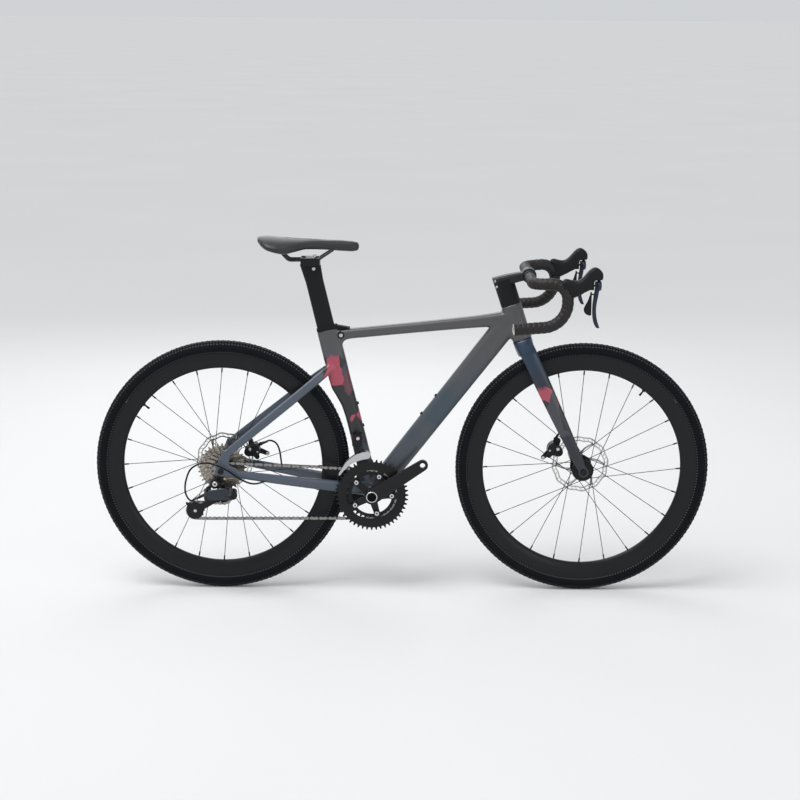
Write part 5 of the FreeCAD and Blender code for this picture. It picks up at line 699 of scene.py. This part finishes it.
def plank(points, halves, low, high):
    """Flat plate along a row of points, of a half width at each, with round ends."""
    points = np.asarray(points, float) * MID
    along = travelled(points)
    line = smooth(along, np.column_stack([points, halves]), np.linspace(0, along[-1], 24))
    ahead = unit(np.gradient(line[:, :3], axis=0)) * line[:, 3:]
    side = np.cross(ahead, Y)
    turn = np.linspace(0, np.pi, 14)[1:-1, None]
    tip = line[-1, :3] + np.cos(turn) * side[-1] + np.sin(turn) * ahead[-1]
    root = line[0, :3] - np.cos(turn) * side[0] - np.sin(turn) * ahead[0]
    outline = np.vstack([line[:, :3] + side, tip, (line[:, :3] - side)[::-1], root])
    return np.stack([outline + Y * low, outline + Y * high])


def washer(shape, centre, inner, outer, swing, thick):
    """Flat ring whose two edges wave twelve times round it, by the swing."""
    turn = np.linspace(0, 2 * np.pi, 180, endpoint=False)[:, None]
    radii = np.array((inner, outer, outer, inner)) + swing * np.sin(12 * turn)
    levels = np.array((-1, -1, 1, 1))[:, None] * Y * thick / 2
    return shape.grid(centre + radii[..., None] * polar(turn) + levels, wrap_u=True)


tyre_radius, bead_radius, casing_radius = 350, 317.2, 19.1
casing_centre = tyre_radius - casing_radius
bead_turn = np.arccos((bead_radius - casing_centre) / casing_radius)
casing = np.linspace(-bead_turn, bead_turn, 44)
casing = np.stack([casing_centre + casing_radius * np.cos(casing), casing_radius * np.sin(casing)], 1)
rim_half, rim_top, rim_seat, hook, nose_radius = 13.5, 317, 311, 2.5, 274
rim_side = np.array(((rim_top, 1), (308, 1), (300, 0.985), (293, 0.93), (286, 0.79), (280, 0.60), (276, 0.42),
                     (nose_radius, 0.24)))
rim_line = np.vstack([rim_side * (1, -rim_half), (rim_side * (1, rim_half))[::-1],
                      [(rim_top, rim_half - hook), (rim_seat, rim_half - hook), (rim_seat, hook - rim_half),
                       (rim_top, hook - rim_half)]])
knob_tilts, knob_count, knob_long, knob_wide, knob_rise = np.radians((15, 37, 54)), 150, 2.6, 1.9, 0.8
knob_sink_share, knob_top_share = 0.6, 0.78
knob_corners = np.array([(a, b, c) for c in (-knob_sink_share, 1)
                         for a, b in ((-1, -1), (1, -1), (1, 1), (-1, 1))])
knob_corners[4:, :2] *= knob_top_share
knob_faces = [(4, 5, 6, 7), (0, 1, 5, 4), (1, 2, 6, 5), (2, 3, 7, 6), (3, 0, 4, 7)]
valve_turns, valve_radius, valve_length, valve_nut, valve_cap = {"front": 53, "rear": 142}, 3, 18, 4.6, 8
rim_grey = material("rim_paint", rim_paint)
spoke_black = material("spoke_black", matt((0.003, 0.003, 0.0035), 0.4, 900, 0.01))
rotor_steel = material("rotor_steel", metal((0.52, 0.515, 0.50), 0.24))
rotor_planes, rotor_thick, rotor_swing, rotor_carrier = {"front": 38.6, "rear": 55}, 1.8, 1.5, (17, 28)
rotor_strands, rotor_webs, rotor_arms = ((74.6, 78.4), (65.2, 68.6)), 36, 6
web_reach, web_radius, web_lead = (67, 76.5), 0.9, np.radians(6)
arm_reach, arm_halves, arm_lead = np.array((66.5, 48, 25)), (2.6, 2.4, 4.2), np.radians((0, 14, 38))
for end, axle in (("front", front_axle), ("rear", rear_axle)):
    tyre = Shape().turned(casing, axle, turns=240, closed=True)
    for row, tilt in enumerate(knob_tilts):
        for sign in (-1, 1):
            turn = (np.arange(knob_count) + 0.5 * row + 0.25 * sign) * 2 * np.pi / knob_count
            out, ahead = polar(turn)[:, None], polar(turn + np.pi / 2)[:, None]
            normal = out * np.cos(tilt) + Y * sign * np.sin(tilt)
            across = Y * sign * np.cos(tilt) - out * np.sin(tilt)
            a, b, c = knob_corners.T[..., None]
            repeat(tyre, axle + out * casing_centre + normal * casing_radius + ahead * a * knob_long
                   + across * b * knob_wide + normal * c * knob_rise, knob_faces)
    tyre.put(end + "_tyre_tread", end + "_wheel", material(end + "_tyre", tyre_paint(axle)), end + "_tyre",
             slot="tyre")
    rim = Shape().turned(rim_line, axle, turns=240, closed=True)
    rim.put(end + "_rim_deep", end + "_wheel", rim_grey, end + "_rim", slot="rim_alloy", sharp=30)
    inward = -polar(np.radians(valve_turns[end]))
    foot = axle - inward * nose_radius
    valve = Shape()
    for low, high, radius, turns in ((-2, valve_length, 0.8 * valve_radius, 16), (-0.5, 2.5, valve_nut, 20),
                                     (valve_length - valve_cap, valve_length, valve_radius, 20)):
        valve.rod(foot + inward * low, foot + inward * high, radius, turns)
    valve.put(end + "_valve", end + "_wheel", black_anodised, slot="black_alloy")
    dress(spoke_black, end + "_spokes")
    dress(black_anodised, end + "_hub", bevel=0.6)
    rotor, plane = Shape(), rotor_planes[end]
    hub = axle * MID + Y * plane
    for inner, outer in rotor_strands:
        washer(rotor, hub, inner, outer, rotor_swing, rotor_thick)
    washer(rotor, hub, *rotor_carrier, 0, rotor_thick)
    for turn in np.arange(rotor_webs) * 2 * np.pi / rotor_webs:
        rotor.rod(hub + web_reach[0] * polar(turn), hub + web_reach[1] * polar(turn + web_lead), web_radius, 8)
    for turn in np.arange(rotor_arms) * 2 * np.pi / rotor_arms:
        arm = hub + arm_reach[:, None] * polar(turn + arm_lead)
        rotor.grid(plank(arm, arm_halves, plane - rotor_thick / 2, plane + rotor_thick / 2))
    rotor.put(end + "_rotor_wavy", end + "_wheel", rotor_steel, end + "_rotor", slot="steel")


# Crank and rings: forged arms with a five-armed spider, blacked chainrings held by five bright bolts, and a
# cap with a bright ring over the spindle. The pedal eyes are left open.
dress(material("crank_black", matt((0.008, 0.008, 0.009), 0.30, 900, 0.015, 0.15)), "crank_arms", voxel=0.9)
dress(black_anodised, "chainrings", bevel=0.25)
bolt_circle, bolt_head, bolt_key, bolt_turns = 55, 6.4, 2.6, np.radians(69 + 72 * np.arange(5))
bolt_face = [(0, 0.9), (bolt_key, 0.9), (bolt_key, -0.2), (bolt_head - 0.5, -0.2), (bolt_head, 0.3),
             (bolt_head, 1.2), (0, 1.2)]
ring_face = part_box("chainrings")[0][1] / MM
ring_bolts = Shape()
for out in polar(bolt_turns):
    ring_bolts.turned(bolt_face, bottom_bracket * MID + bolt_circle * out + Y * ring_face, Y, 24)
ring_bolts.put("ring_bolts", "crank", bright_steel, slot="steel")
band_inner, band_outer, band_low, band_high, band_edge = 70, 79, -47.9, -46.1, 0.4
Shape().turned([(band_inner, band_low + band_edge), (band_inner + band_edge, band_low), (band_outer, band_low),
                (band_outer, band_high), (band_inner, band_high)], bottom_bracket * MID, Y, 120, True).put(
    "ring_band", "crank", black_anodised, slot="black_alloy")
arm_face = bottom_bracket - Y * 73.5
cap_radius, cap_outer, cap_rise, cap_sink, cap_edge = 13, 15.4, 1.0, 0.2, 0.4
Shape().turned([(cap_radius, -cap_sink), (cap_radius, cap_rise), (cap_outer - cap_edge, cap_rise),
                (cap_outer, cap_rise - cap_edge), (cap_outer, -cap_sink)], arm_face, -Y, 64, True).put(
    "crank_ring", "crank", bright_steel, slot="steel")
# A near-black flat disc closes the bore: painted shade standing for the hollow inside it.
bore_painted_shade = material("bore_painted_shade", matt((0.0008, 0.0008, 0.001), 0.9))
bore_face = [(0, cap_sink), (cap_radius, cap_sink), (cap_radius, -cap_rise), (0, -cap_rise)]
Shape().turned(bore_face, arm_face, -Y, 48).put("crank_bore_painted_shade", "crank", bore_painted_shade, slot="plastic")


# Chain: pressed steel plates in pairs on hardened pins, a link to every half inch, running round the smaller
# chainring, the smallest cog and the two derailleur pulleys.
def quarter(line):
    """A flat vector turned by a quarter with the clock."""
    return np.array((line[1], -line[0]))


def belt(circles):
    """Runs of points on circles (x, z, radius, turn) that a belt goes round; turn is 1 against the clock."""
    leave = []
    for here, there in zip(circles, circles[1:] + circles[:1]):
        span = np.array(there[:2]) - here[:2]
        gap = np.linalg.norm(span)
        slant = (here[2] * here[3] - there[2] * there[3]) / gap
        leave.append(np.sqrt(1 - slant ** 2) * span / gap - slant * quarter(span / gap))
    runs = []
    for i, (x, z, radius, turn) in enumerate(circles):
        start, stop = (np.arctan2(*(turn * quarter(line))[::-1]) for line in (leave[i - 1], leave[i]))
        bend = start + turn * np.linspace(0, (turn * (stop - start)) % (2 * np.pi), 90)
        runs.append(np.stack([x + radius * np.cos(bend), z + radius * np.sin(bend)], 1))
    return runs


def lead(one, two):
    """Points on a run where the chain leaves one sprocket's plane and reaches the other's."""
    straight_on = (two - one) * MID * chain_lead / np.linalg.norm(two - one)
    return [one + straight_on, two - straight_on]


def prism(corners):
    """Quads round a prism and across its two ends, the second end's points after the first's."""
    fans = [(0, i, i + 1, i + 2) for i in range(1, corners - 2, 2)]
    round_it = [(i, (i + 1) % corners, (i + 1) % corners + corners, i + corners) for i in range(corners)]
    return round_it + [face[::-1] for face in fans] + [tuple(i + corners for i in face) for face in fans]


def drums(spots, radius, half):
    """Short cylinders of a few sides across the chain."""
    ring = radius * polar(np.linspace(0, 2 * np.pi, drum_sides, endpoint=False))
    return repeat(Shape(), spots[:, None] + np.vstack([ring - Y * half, ring + Y * half]),
                  prism(drum_sides))


chain_pitch, chain_lead, ring_plane, cog_plane = 12.7, 36, -40, -65.2
guide, tension = pivot("guide_pulley_spin"), pivot("tension_pulley_spin")
sprockets = ((bottom_bracket, 34, 1), (rear_axle, 11, 1), (guide, 11, -1), (tension, 11, 1))
wraps = belt([(spot[0], spot[2], chain_pitch / (2 * np.sin(np.pi / teeth)), turn)
              for spot, teeth, turn in sprockets])
ring_run, cog_run, guide_run, tension_run = (np.insert(run, 1, plane, axis=1) for run, plane in
                                             zip(wraps, (ring_plane, cog_plane, cog_plane, cog_plane)))
chain_line = np.vstack([ring_run, lead(ring_run[-1], cog_run[0]), cog_run, guide_run, tension_run,
                        lead(tension_run[-1], ring_run[0]), ring_run[:1]])
chain_way = travelled(chain_line)
link_count = 2 * round(chain_way[-1] / chain_pitch / 2)
pin_way = np.arange(link_count) / link_count * chain_way[-1]
pins = np.stack([np.interp(pin_way, chain_way, column) for column in chain_line.T], 1)
span = np.roll(pins, -1, axis=0) - pins
middle, heading = pins + span / 2, unit(span)
upward = np.cross(heading, Y)
plate_high, plate_waist = 4.3, 1.8
sweep = np.linspace(-np.pi / 2, np.pi / 2, 7)
half = np.stack([chain_pitch / 2 + plate_high * np.cos(sweep), plate_high * np.sin(sweep)], 1)
plate = np.vstack([half, [(0, plate_waist)], -half, [(0, -plate_waist)]])
roller, rivet, drum_sides = (3.7, 1.05), (1.7, 3.0), 10
chain_dark = material("chain_dark", metal((0.15, 0.147, 0.14), 0.30))
chain_bright = material("chain_bright", metal((0.31, 0.305, 0.29), 0.26))
chain_parts = (("chain_inner", chain_dark, (), 0, drums(pins, *roller), 1.1, 1.9),
               ("chain_outer", chain_bright, ("chain",), 1, drums(pins, *rivet), 2.0, 2.8))
for name, finish, nodes, first, links, inner, outer in chain_parts:
    pick = slice(first, None, 2)
    edge = middle[pick, None] + heading[pick, None] * plate[:, :1] + upward[pick, None] * plate[:, 1:]
    for low, high in ((inner, outer), (-outer, -inner)):
        repeat(links, np.concatenate([edge + Y * low, edge + Y * high], 1), prism(len(plate)))
    links.put(name, "frame", finish, *nodes, slot="steel", sharp=40)


# Cassette and derailleurs: pressed steel cogs, a parallelogram rear derailleur of forged alloy with two moulded
# pulleys, and a front derailleur whose pressed cage hangs from a blacked arm.
def cog_paint(wire):
    """Bright pressed steel, darker in a cell pattern: painted shade standing for the gaps between the teeth."""
    return {"Base Color": wire.cells(260).step(0.25, 0.6).mix((0.56, 0.51, 0.44), (0.26, 0.235, 0.20)),
            "Metallic": 1.0, "Roughness": 0.26 + wire.noise(500) * 0.12}


mech_black = material("mech_black", matt((0.008, 0.008, 0.009), 0.32, 900, 0.015, 0.12))
mech_blue = material("mech_blue", matt((0.020, 0.027, 0.040), 0.25, 900, 0.01, 0.4))
dress(material("cog_steel", cog_paint), "cassette")
dress(mech_black, "derailleur_knuckle", "derailleur_lower_knuckle", "derailleur_inner_link", voxel=0.6,
      rounds=3)
dress(mech_blue, "derailleur_outer_link", voxel=0.6)
dress(material("pulley_black", matt((0.009, 0.009, 0.010), 0.45)), "guide_pulley", "tension_pulley", bevel=0.2)
upper, cage_pivot = pivot("derailleur_shift"), pivot("cage_swing")
knuckle_spot, pivot_spot = rear_axle + (-15, -96, -31), cage_pivot - Y * 33.4
cover_half, cover_tall = 5.5, 15
cover_rows = ((-8, -8, -3, 0.5, 0.55), (6, -10, -2, 0.75, 0.85), (24, -12, 1, 0.8, 1), (42, -13, 2, 0.75, 1.1),
              (54, -13, 2, 0.5, 0.85))
cover = loft([(*(upper + (x, y, z)), cover_half * wide, cover_tall * tall)
              for x, y, z, wide, tall in cover_rows], Y, Z, 40, 32, 3, (3, 3))
Shape().grid(cover).put("mech_cover", "outer_link", mech_blue, slot="black_alloy")
knuckle_cap_face = [(0, 1.4), (9, 1.4), (12.4, 0.2), (13.8, -2.5), (13.8, -9), (0, -9)]
Shape().turned(knuckle_cap_face, knuckle_spot, -Y, 48).put(
    "knuckle_cap", "frame", mech_black, slot="black_alloy")
knuckle_bolt_face = [(3.2, 1.2), (3.2, 2.4), (6.4, 2.4), (7, 1.8), (7, 1.2)]
Shape().turned(knuckle_bolt_face, knuckle_spot, -Y, 40, True).put(
    "knuckle_bolt", "frame", bright_steel, slot="steel")
brass = material("brass", metal((0.55, 0.42, 0.22), 0.28))
socket_head(Shape(), rear_axle + (11, -80.6, -20), 3.8, 1.2).put("hanger_bolt", "frame", brass, slot="steel")
socket_head(Shape(), rear_axle - Y * 81.2, 6, 1.5).put("rear_axle_head", "frame", dark_steel,
                                                       slot="black_steel")
pivot_cap_face = [(0, 5.5), (5, 5.5), (9, 4.6), (12, 2.4), (13, 0), (13, -3), (0, -3)]
Shape().turned(pivot_cap_face, pivot_spot, -Y, 48).put(
    "pivot_cap", "lower_knuckle", mech_black, slot="black_alloy")
plates, cage_outside, cage_plate, cage_inside = Shape(), -71.7, 1.5, -60.2
for low in (cage_outside, cage_inside):
    plates.grid(plank((cage_pivot, guide, tension), (10, 8, 9), low, low + cage_plate))
for spot in (guide, tension):
    plates.rod(spot * MID - Y * 71, spot * MID - Y * 59, 3.9, 20)
guard_radius, guard_thick, guard_gap, horn_reach, horn_turn = 23, 0.9, 0.24, 34, np.radians(137)
guard = guard_radius * polar(np.linspace(horn_turn + guard_gap, horn_turn + 2 * np.pi - guard_gap, 48))
horn = horn_reach * polar(horn_turn)
guard = tension * MID + np.vstack([guard, horn + (2, 0, 2), horn - (2, 0, 1)]) + Y * cage_outside
plates.grid(np.stack([guard - Y * guard_thick, guard]))
plates.put("cage_plates", "derailleur_cage", mech_black, "derailleur_cage", slot="black_alloy", bevel=0.2)
cage_bolts = socket_head(Shape(), guide * MID + Y * cage_outside, 3.6, 1.2)
socket_head(cage_bolts, tension * MID + Y * (cage_outside - guard_thick), 4.2, 1.2)
cage_bolts.put("cage_bolts", "derailleur_cage", bright_steel, slot="steel")
dress(mech_black, "front_derailleur_mount", voxel=0.7)
blade_turns, blade_inner = np.radians((97, 109, 122, 135, 147)), 104
blade_halves, blade_planes, blade_thick = np.array((10, 9.5, 7.5, 4.5, 2.5)), (-52, -35.5), 1.5
blade = bottom_bracket + (blade_inner + blade_halves)[:, None] * polar(blade_turns)
blades = Shape()
for low in blade_planes:
    blades.grid(plank(blade, blade_halves, low, low + blade_thick))
for spot in (blade[0] + Z * 6, blade[-1]):
    blades.rod(spot * MID - Y * 51, spot * MID - Y * 35, 2.2, 16)
blades.put("front_blades", "front_derailleur_cage", material("cage_steel", metal((0.60, 0.60, 0.61), 0.24)),
           "front_derailleur_cage", slot="steel", bevel=0.3)
mount = seat(155, 11.55)
Shape().grid(loft([(mount[0], -42.5, height, 7, 4) for height in (392, 404, 415.6)], X, Y, 12, 24, 4)).put(
    "front_arm", "front_derailleur_cage", mech_black, slot="black_alloy")
socket_head(Shape(), mount + (2, -47, 6), 4.6, 1.3).put("mount_bolt", "frame", bright_steel, slot="steel")


# Brakes: cast calipers with an actuating arm on a pin, pulled by cables in lined plastic housing that ends in
# pressed ferrules.
def flowing(points, step):
    """Catmull-Rom line through points, sampled every step."""
    points = np.asarray(points, float)
    padded = np.vstack([2 * points[0] - points[1], points, 2 * points[-1] - points[-2]])
    t = np.linspace(0, 1, 16, endpoint=False)[:, None]
    runs = [0.5 * (2 * b + (c - a) * t + (2 * a - 5 * b + 4 * c - d) * t ** 2
                   + (3 * b - a - 3 * c + d) * t ** 3)
            for a, b, c, d in zip(padded, padded[1:], padded[2:], padded[3:])]
    return spaced(np.vstack(runs + [points[-1:]]), step)


dress(mech_black, "front_brake_arm", "rear_brake_arm", voxel=0.8)
cast_low, cast_high, slot_half, pad_clear = -13, 21, 4.6, 1.9
cast_planks = ((((72, 0), (81, 0), (88, 0)), (13, 16, 15), ((cast_low, -slot_half), (slot_half, cast_high))),
               (((67, 0), (71, 0), (75, 0)), (7.5, 8.5, 8), ((-slot_half, -pad_clear), (pad_clear, slot_half))),
               (((94, -9), (96, 0), (94, 9)), (8, 8.5, 8), ((cast_low, cast_high),)),
               (((86, -25), (81, 0), (86, 25)), (7, 8, 7), ((6, 15),)))
pin_reach, pin_radius, barrel_radius, barrel_length, barrel_level, weld_reach = 83.76, 3, 4, 16, 11.55, 84
boss_face = [(0, 1.6), (7.5, 1.6), (8.6, 0.6), (9, -2), (0, -2)]
calipers = (("fork", "front", front_axle, 150, -1, (94.8, -20, 0, -1)),
            ("frame", "rear", rear_axle, 21, 1, (104, 6, 1, 0)))
for body, end, axle, turn, over, (reach, side, ahead, aside) in calipers:
    out, plane = polar(np.radians(turn)), rotor_planes[end]
    along, hub = np.cross(out, Y), axle * MID + Y * plane
    cast = Shape()
    for way, halves, levels in cast_planks:
        for low, high in levels:
            spots = [hub + out * far + along * wide for far, wide in way]
            cast.grid(plank(spots, halves, plane + low, plane + high))
    pin = hub + out * pin_reach + Y * cast_high
    cast.rod(pin - Y * 5, pin + Y * 5.5, pin_radius, 32)
    foot, pull = hub + out * reach + along * side + Y * barrel_level, out * ahead + along * aside
    cast.rod(foot - pull * 12, foot + pull * barrel_length, barrel_radius, 24)
    cast.rod(foot + pull * 2, foot + pull * 8, barrel_radius + 1.6, 24)
    cast.put(end + "_caliper_cast", body, mech_black, end + "_brake_caliper", slot="black_alloy", sharp=60,
             mesh=cast.welded(end + "_caliper_cast", 0.8, [(*(hub + out * weld_reach), 30)], 12))
    face = hub + out * 78 + along * over * 7 + Y * cast_low
    Shape().turned(boss_face, face, -Y, 40).put(end + "_caliper_boss", body, mech_black, slot="black_alloy")
    bolts = socket_head(Shape(), face - Y * 1.6, 4.6, 0.9)
    socket_head(bolts, face + out * 17 - along * over * 15 + Y * 0.2, 2.6, 0.8)
    bolts.put(end + "_caliper_bolts", body, bright_steel, slot="steel")
arm_ends = {"front": (394.76, 59.9, 362.18), "rear": (-379.86, 76.3, 364.28)}
for end, spot in arm_ends.items():
    socket_head(Shape(), np.array(spot), 4.5, 1.4).put(end + "_arm_bolt", end + "_brake_arm", bright_steel,
                                                       slot="steel")
housing_black = material("housing_black", matt((0.007, 0.007, 0.008), 0.38, 900, 0.01))
dress(housing_black, "front_brake_housing")
housing_radius, housing_step, ferrule_radius, ferrule_length = 2.5, 2, 3.4, 9
brake_end, brake_pull = np.array((-387.1, 66.55, 398.6)), np.array((0.934, 0, 0.358))
shift_end, shift_pull = upper + (-29.9, -4.5, -10.5), np.array((-0.934, -0.14, -0.327))
brake_route = [(-338, 60, 326), (-341, 63.5, 352), (-346, 66, 380), (-356, 66.5, 398)]
shift_route = [(-352, -62, 330), (-402, -77, 316), (-440, -86, 329), (-488, -93, 362), (-536, -96, 378),
               (-574, -98, 364), (-590, -99, 330), (-592, -100, 296)]
housings, ferrules = Shape(), Shape()
cable_ends = ((brake_route, brake_end, brake_pull, 16), (shift_route, shift_end, shift_pull, 22))
for route, stop, pull, straight_end in cable_ends:
    run = flowing([*route, stop + pull * straight_end, stop], housing_step)
    housings.grid(swept(run, housing_radius, np.array((0.1, 1, 0.05)), 12))
    ferrules.rod(stop, stop + pull * ferrule_length, ferrule_radius, 20)
housings.put("housings", "frame", housing_black, "rear_cable_housings", slot="plastic", sharp=80)
ferrules.put("ferrules", "frame", dark_steel, slot="steel")


# Studio: a round pale floor under an even sky, a broad soft sun, three panels and a camera at the photograph's
# place, set from its position, aim and focal length. What is seen of the sky is as bright as the far floor.
def floor_paint(wire):
    """Pale matt floor with the faintest cloud in it."""
    return {"Base Color": wire.noise(0.6, 2).mix((0.74, 0.745, 0.75), (0.79, 0.79, 0.79)), "Roughness": 0.85,
            "Specular IOR Level": 0.15}


def stand(name, data, place, back, right):
    """Lamp or camera at a place in metres, looking away from back."""
    made = linked(name, data)
    axes = np.column_stack([right, np.cross(back, right), back, place])
    made.matrix_world = Matrix(np.vstack([axes, [0, 0, 0, 1]]))
    return made


floor_radius, floor_drop, floor_thick = 3e5, 0.3, 50
sheet = Shape().turned([(0, -floor_drop), (floor_radius, -floor_drop), (floor_radius, -floor_thick),
                        (0, -floor_thick)], np.zeros(3), Z, 64)
floor = linked("studio_floor", sheet.mesh("studio_floor"))
floor.data.materials.append(material("floor_paint", floor_paint))
sky_light, seen_light = 0.56, 0.665
world = bpy.data.worlds.new("studio")
world.use_nodes = True
sky, rays = world.node_tree.nodes["Background"], Wire(world.node_tree)
sky.inputs["Color"].default_value = (0.948, 0.972, 1, 1)
seen = sum(rays.node("LightPath", output=f"Is {kind} Ray") for kind in ("Camera", "Glossy", "Transmission"))
world.node_tree.links.new((seen * (seen_light - sky_light) + sky_light).socket, sky.inputs["Strength"])
bpy.context.scene.world = world
sun = bpy.data.lights.new("sun", "SUN")
sun.angle, sun.energy = 0.6, 1.1
lamps = [(sun, (-1.4, -1.0, 3.8), (0, 0, 0.45))]
panels = (("key", (-1.6, -0.9, 3.8), (0, 0, 0.45), 2.4, 50), ("fill", (2.6, -4.2, 1.8), (0, 0, 0.5), 2.2, 26),
          ("back", (-0.6, 3.0, 2.6), (0, 0, 0.5), 2.4, 30))
for name, place, target, width, power in panels:
    panel = bpy.data.lights.new(name, "AREA")
    panel.size, panel.energy = width, power
    lamps.append((panel, place, target))
for lamp, place, target in lamps:
    back = unit(np.array(place) - np.array(target))
    stand(lamp.name, lamp, place, back, unit(np.cross(Z, back)))

camera_place, camera_yaw, camera_pitch, camera_roll = np.array((-37.3, -4966.4, 1592.0)), 0.0058, 0.2093, 0.0088
focal_pixels, photo_pixels, sensor_width = 1843, 800, 36
level = np.array((np.cos(camera_yaw), -np.sin(camera_yaw), 0))
ahead = np.cross(Z, level) * np.cos(camera_pitch) - Z * np.sin(camera_pitch)
right = level * np.cos(camera_roll) + np.cross(level, ahead) * np.sin(camera_roll)
lens = bpy.data.cameras.new("camera")
lens.sensor_width, lens.lens, lens.clip_end = sensor_width, focal_pixels * sensor_width / photo_pixels, 1000
bpy.context.scene.camera = stand("camera", lens, camera_place * MM, -ahead, right)
bpy.context.scene.view_settings.view_transform = "Standard"
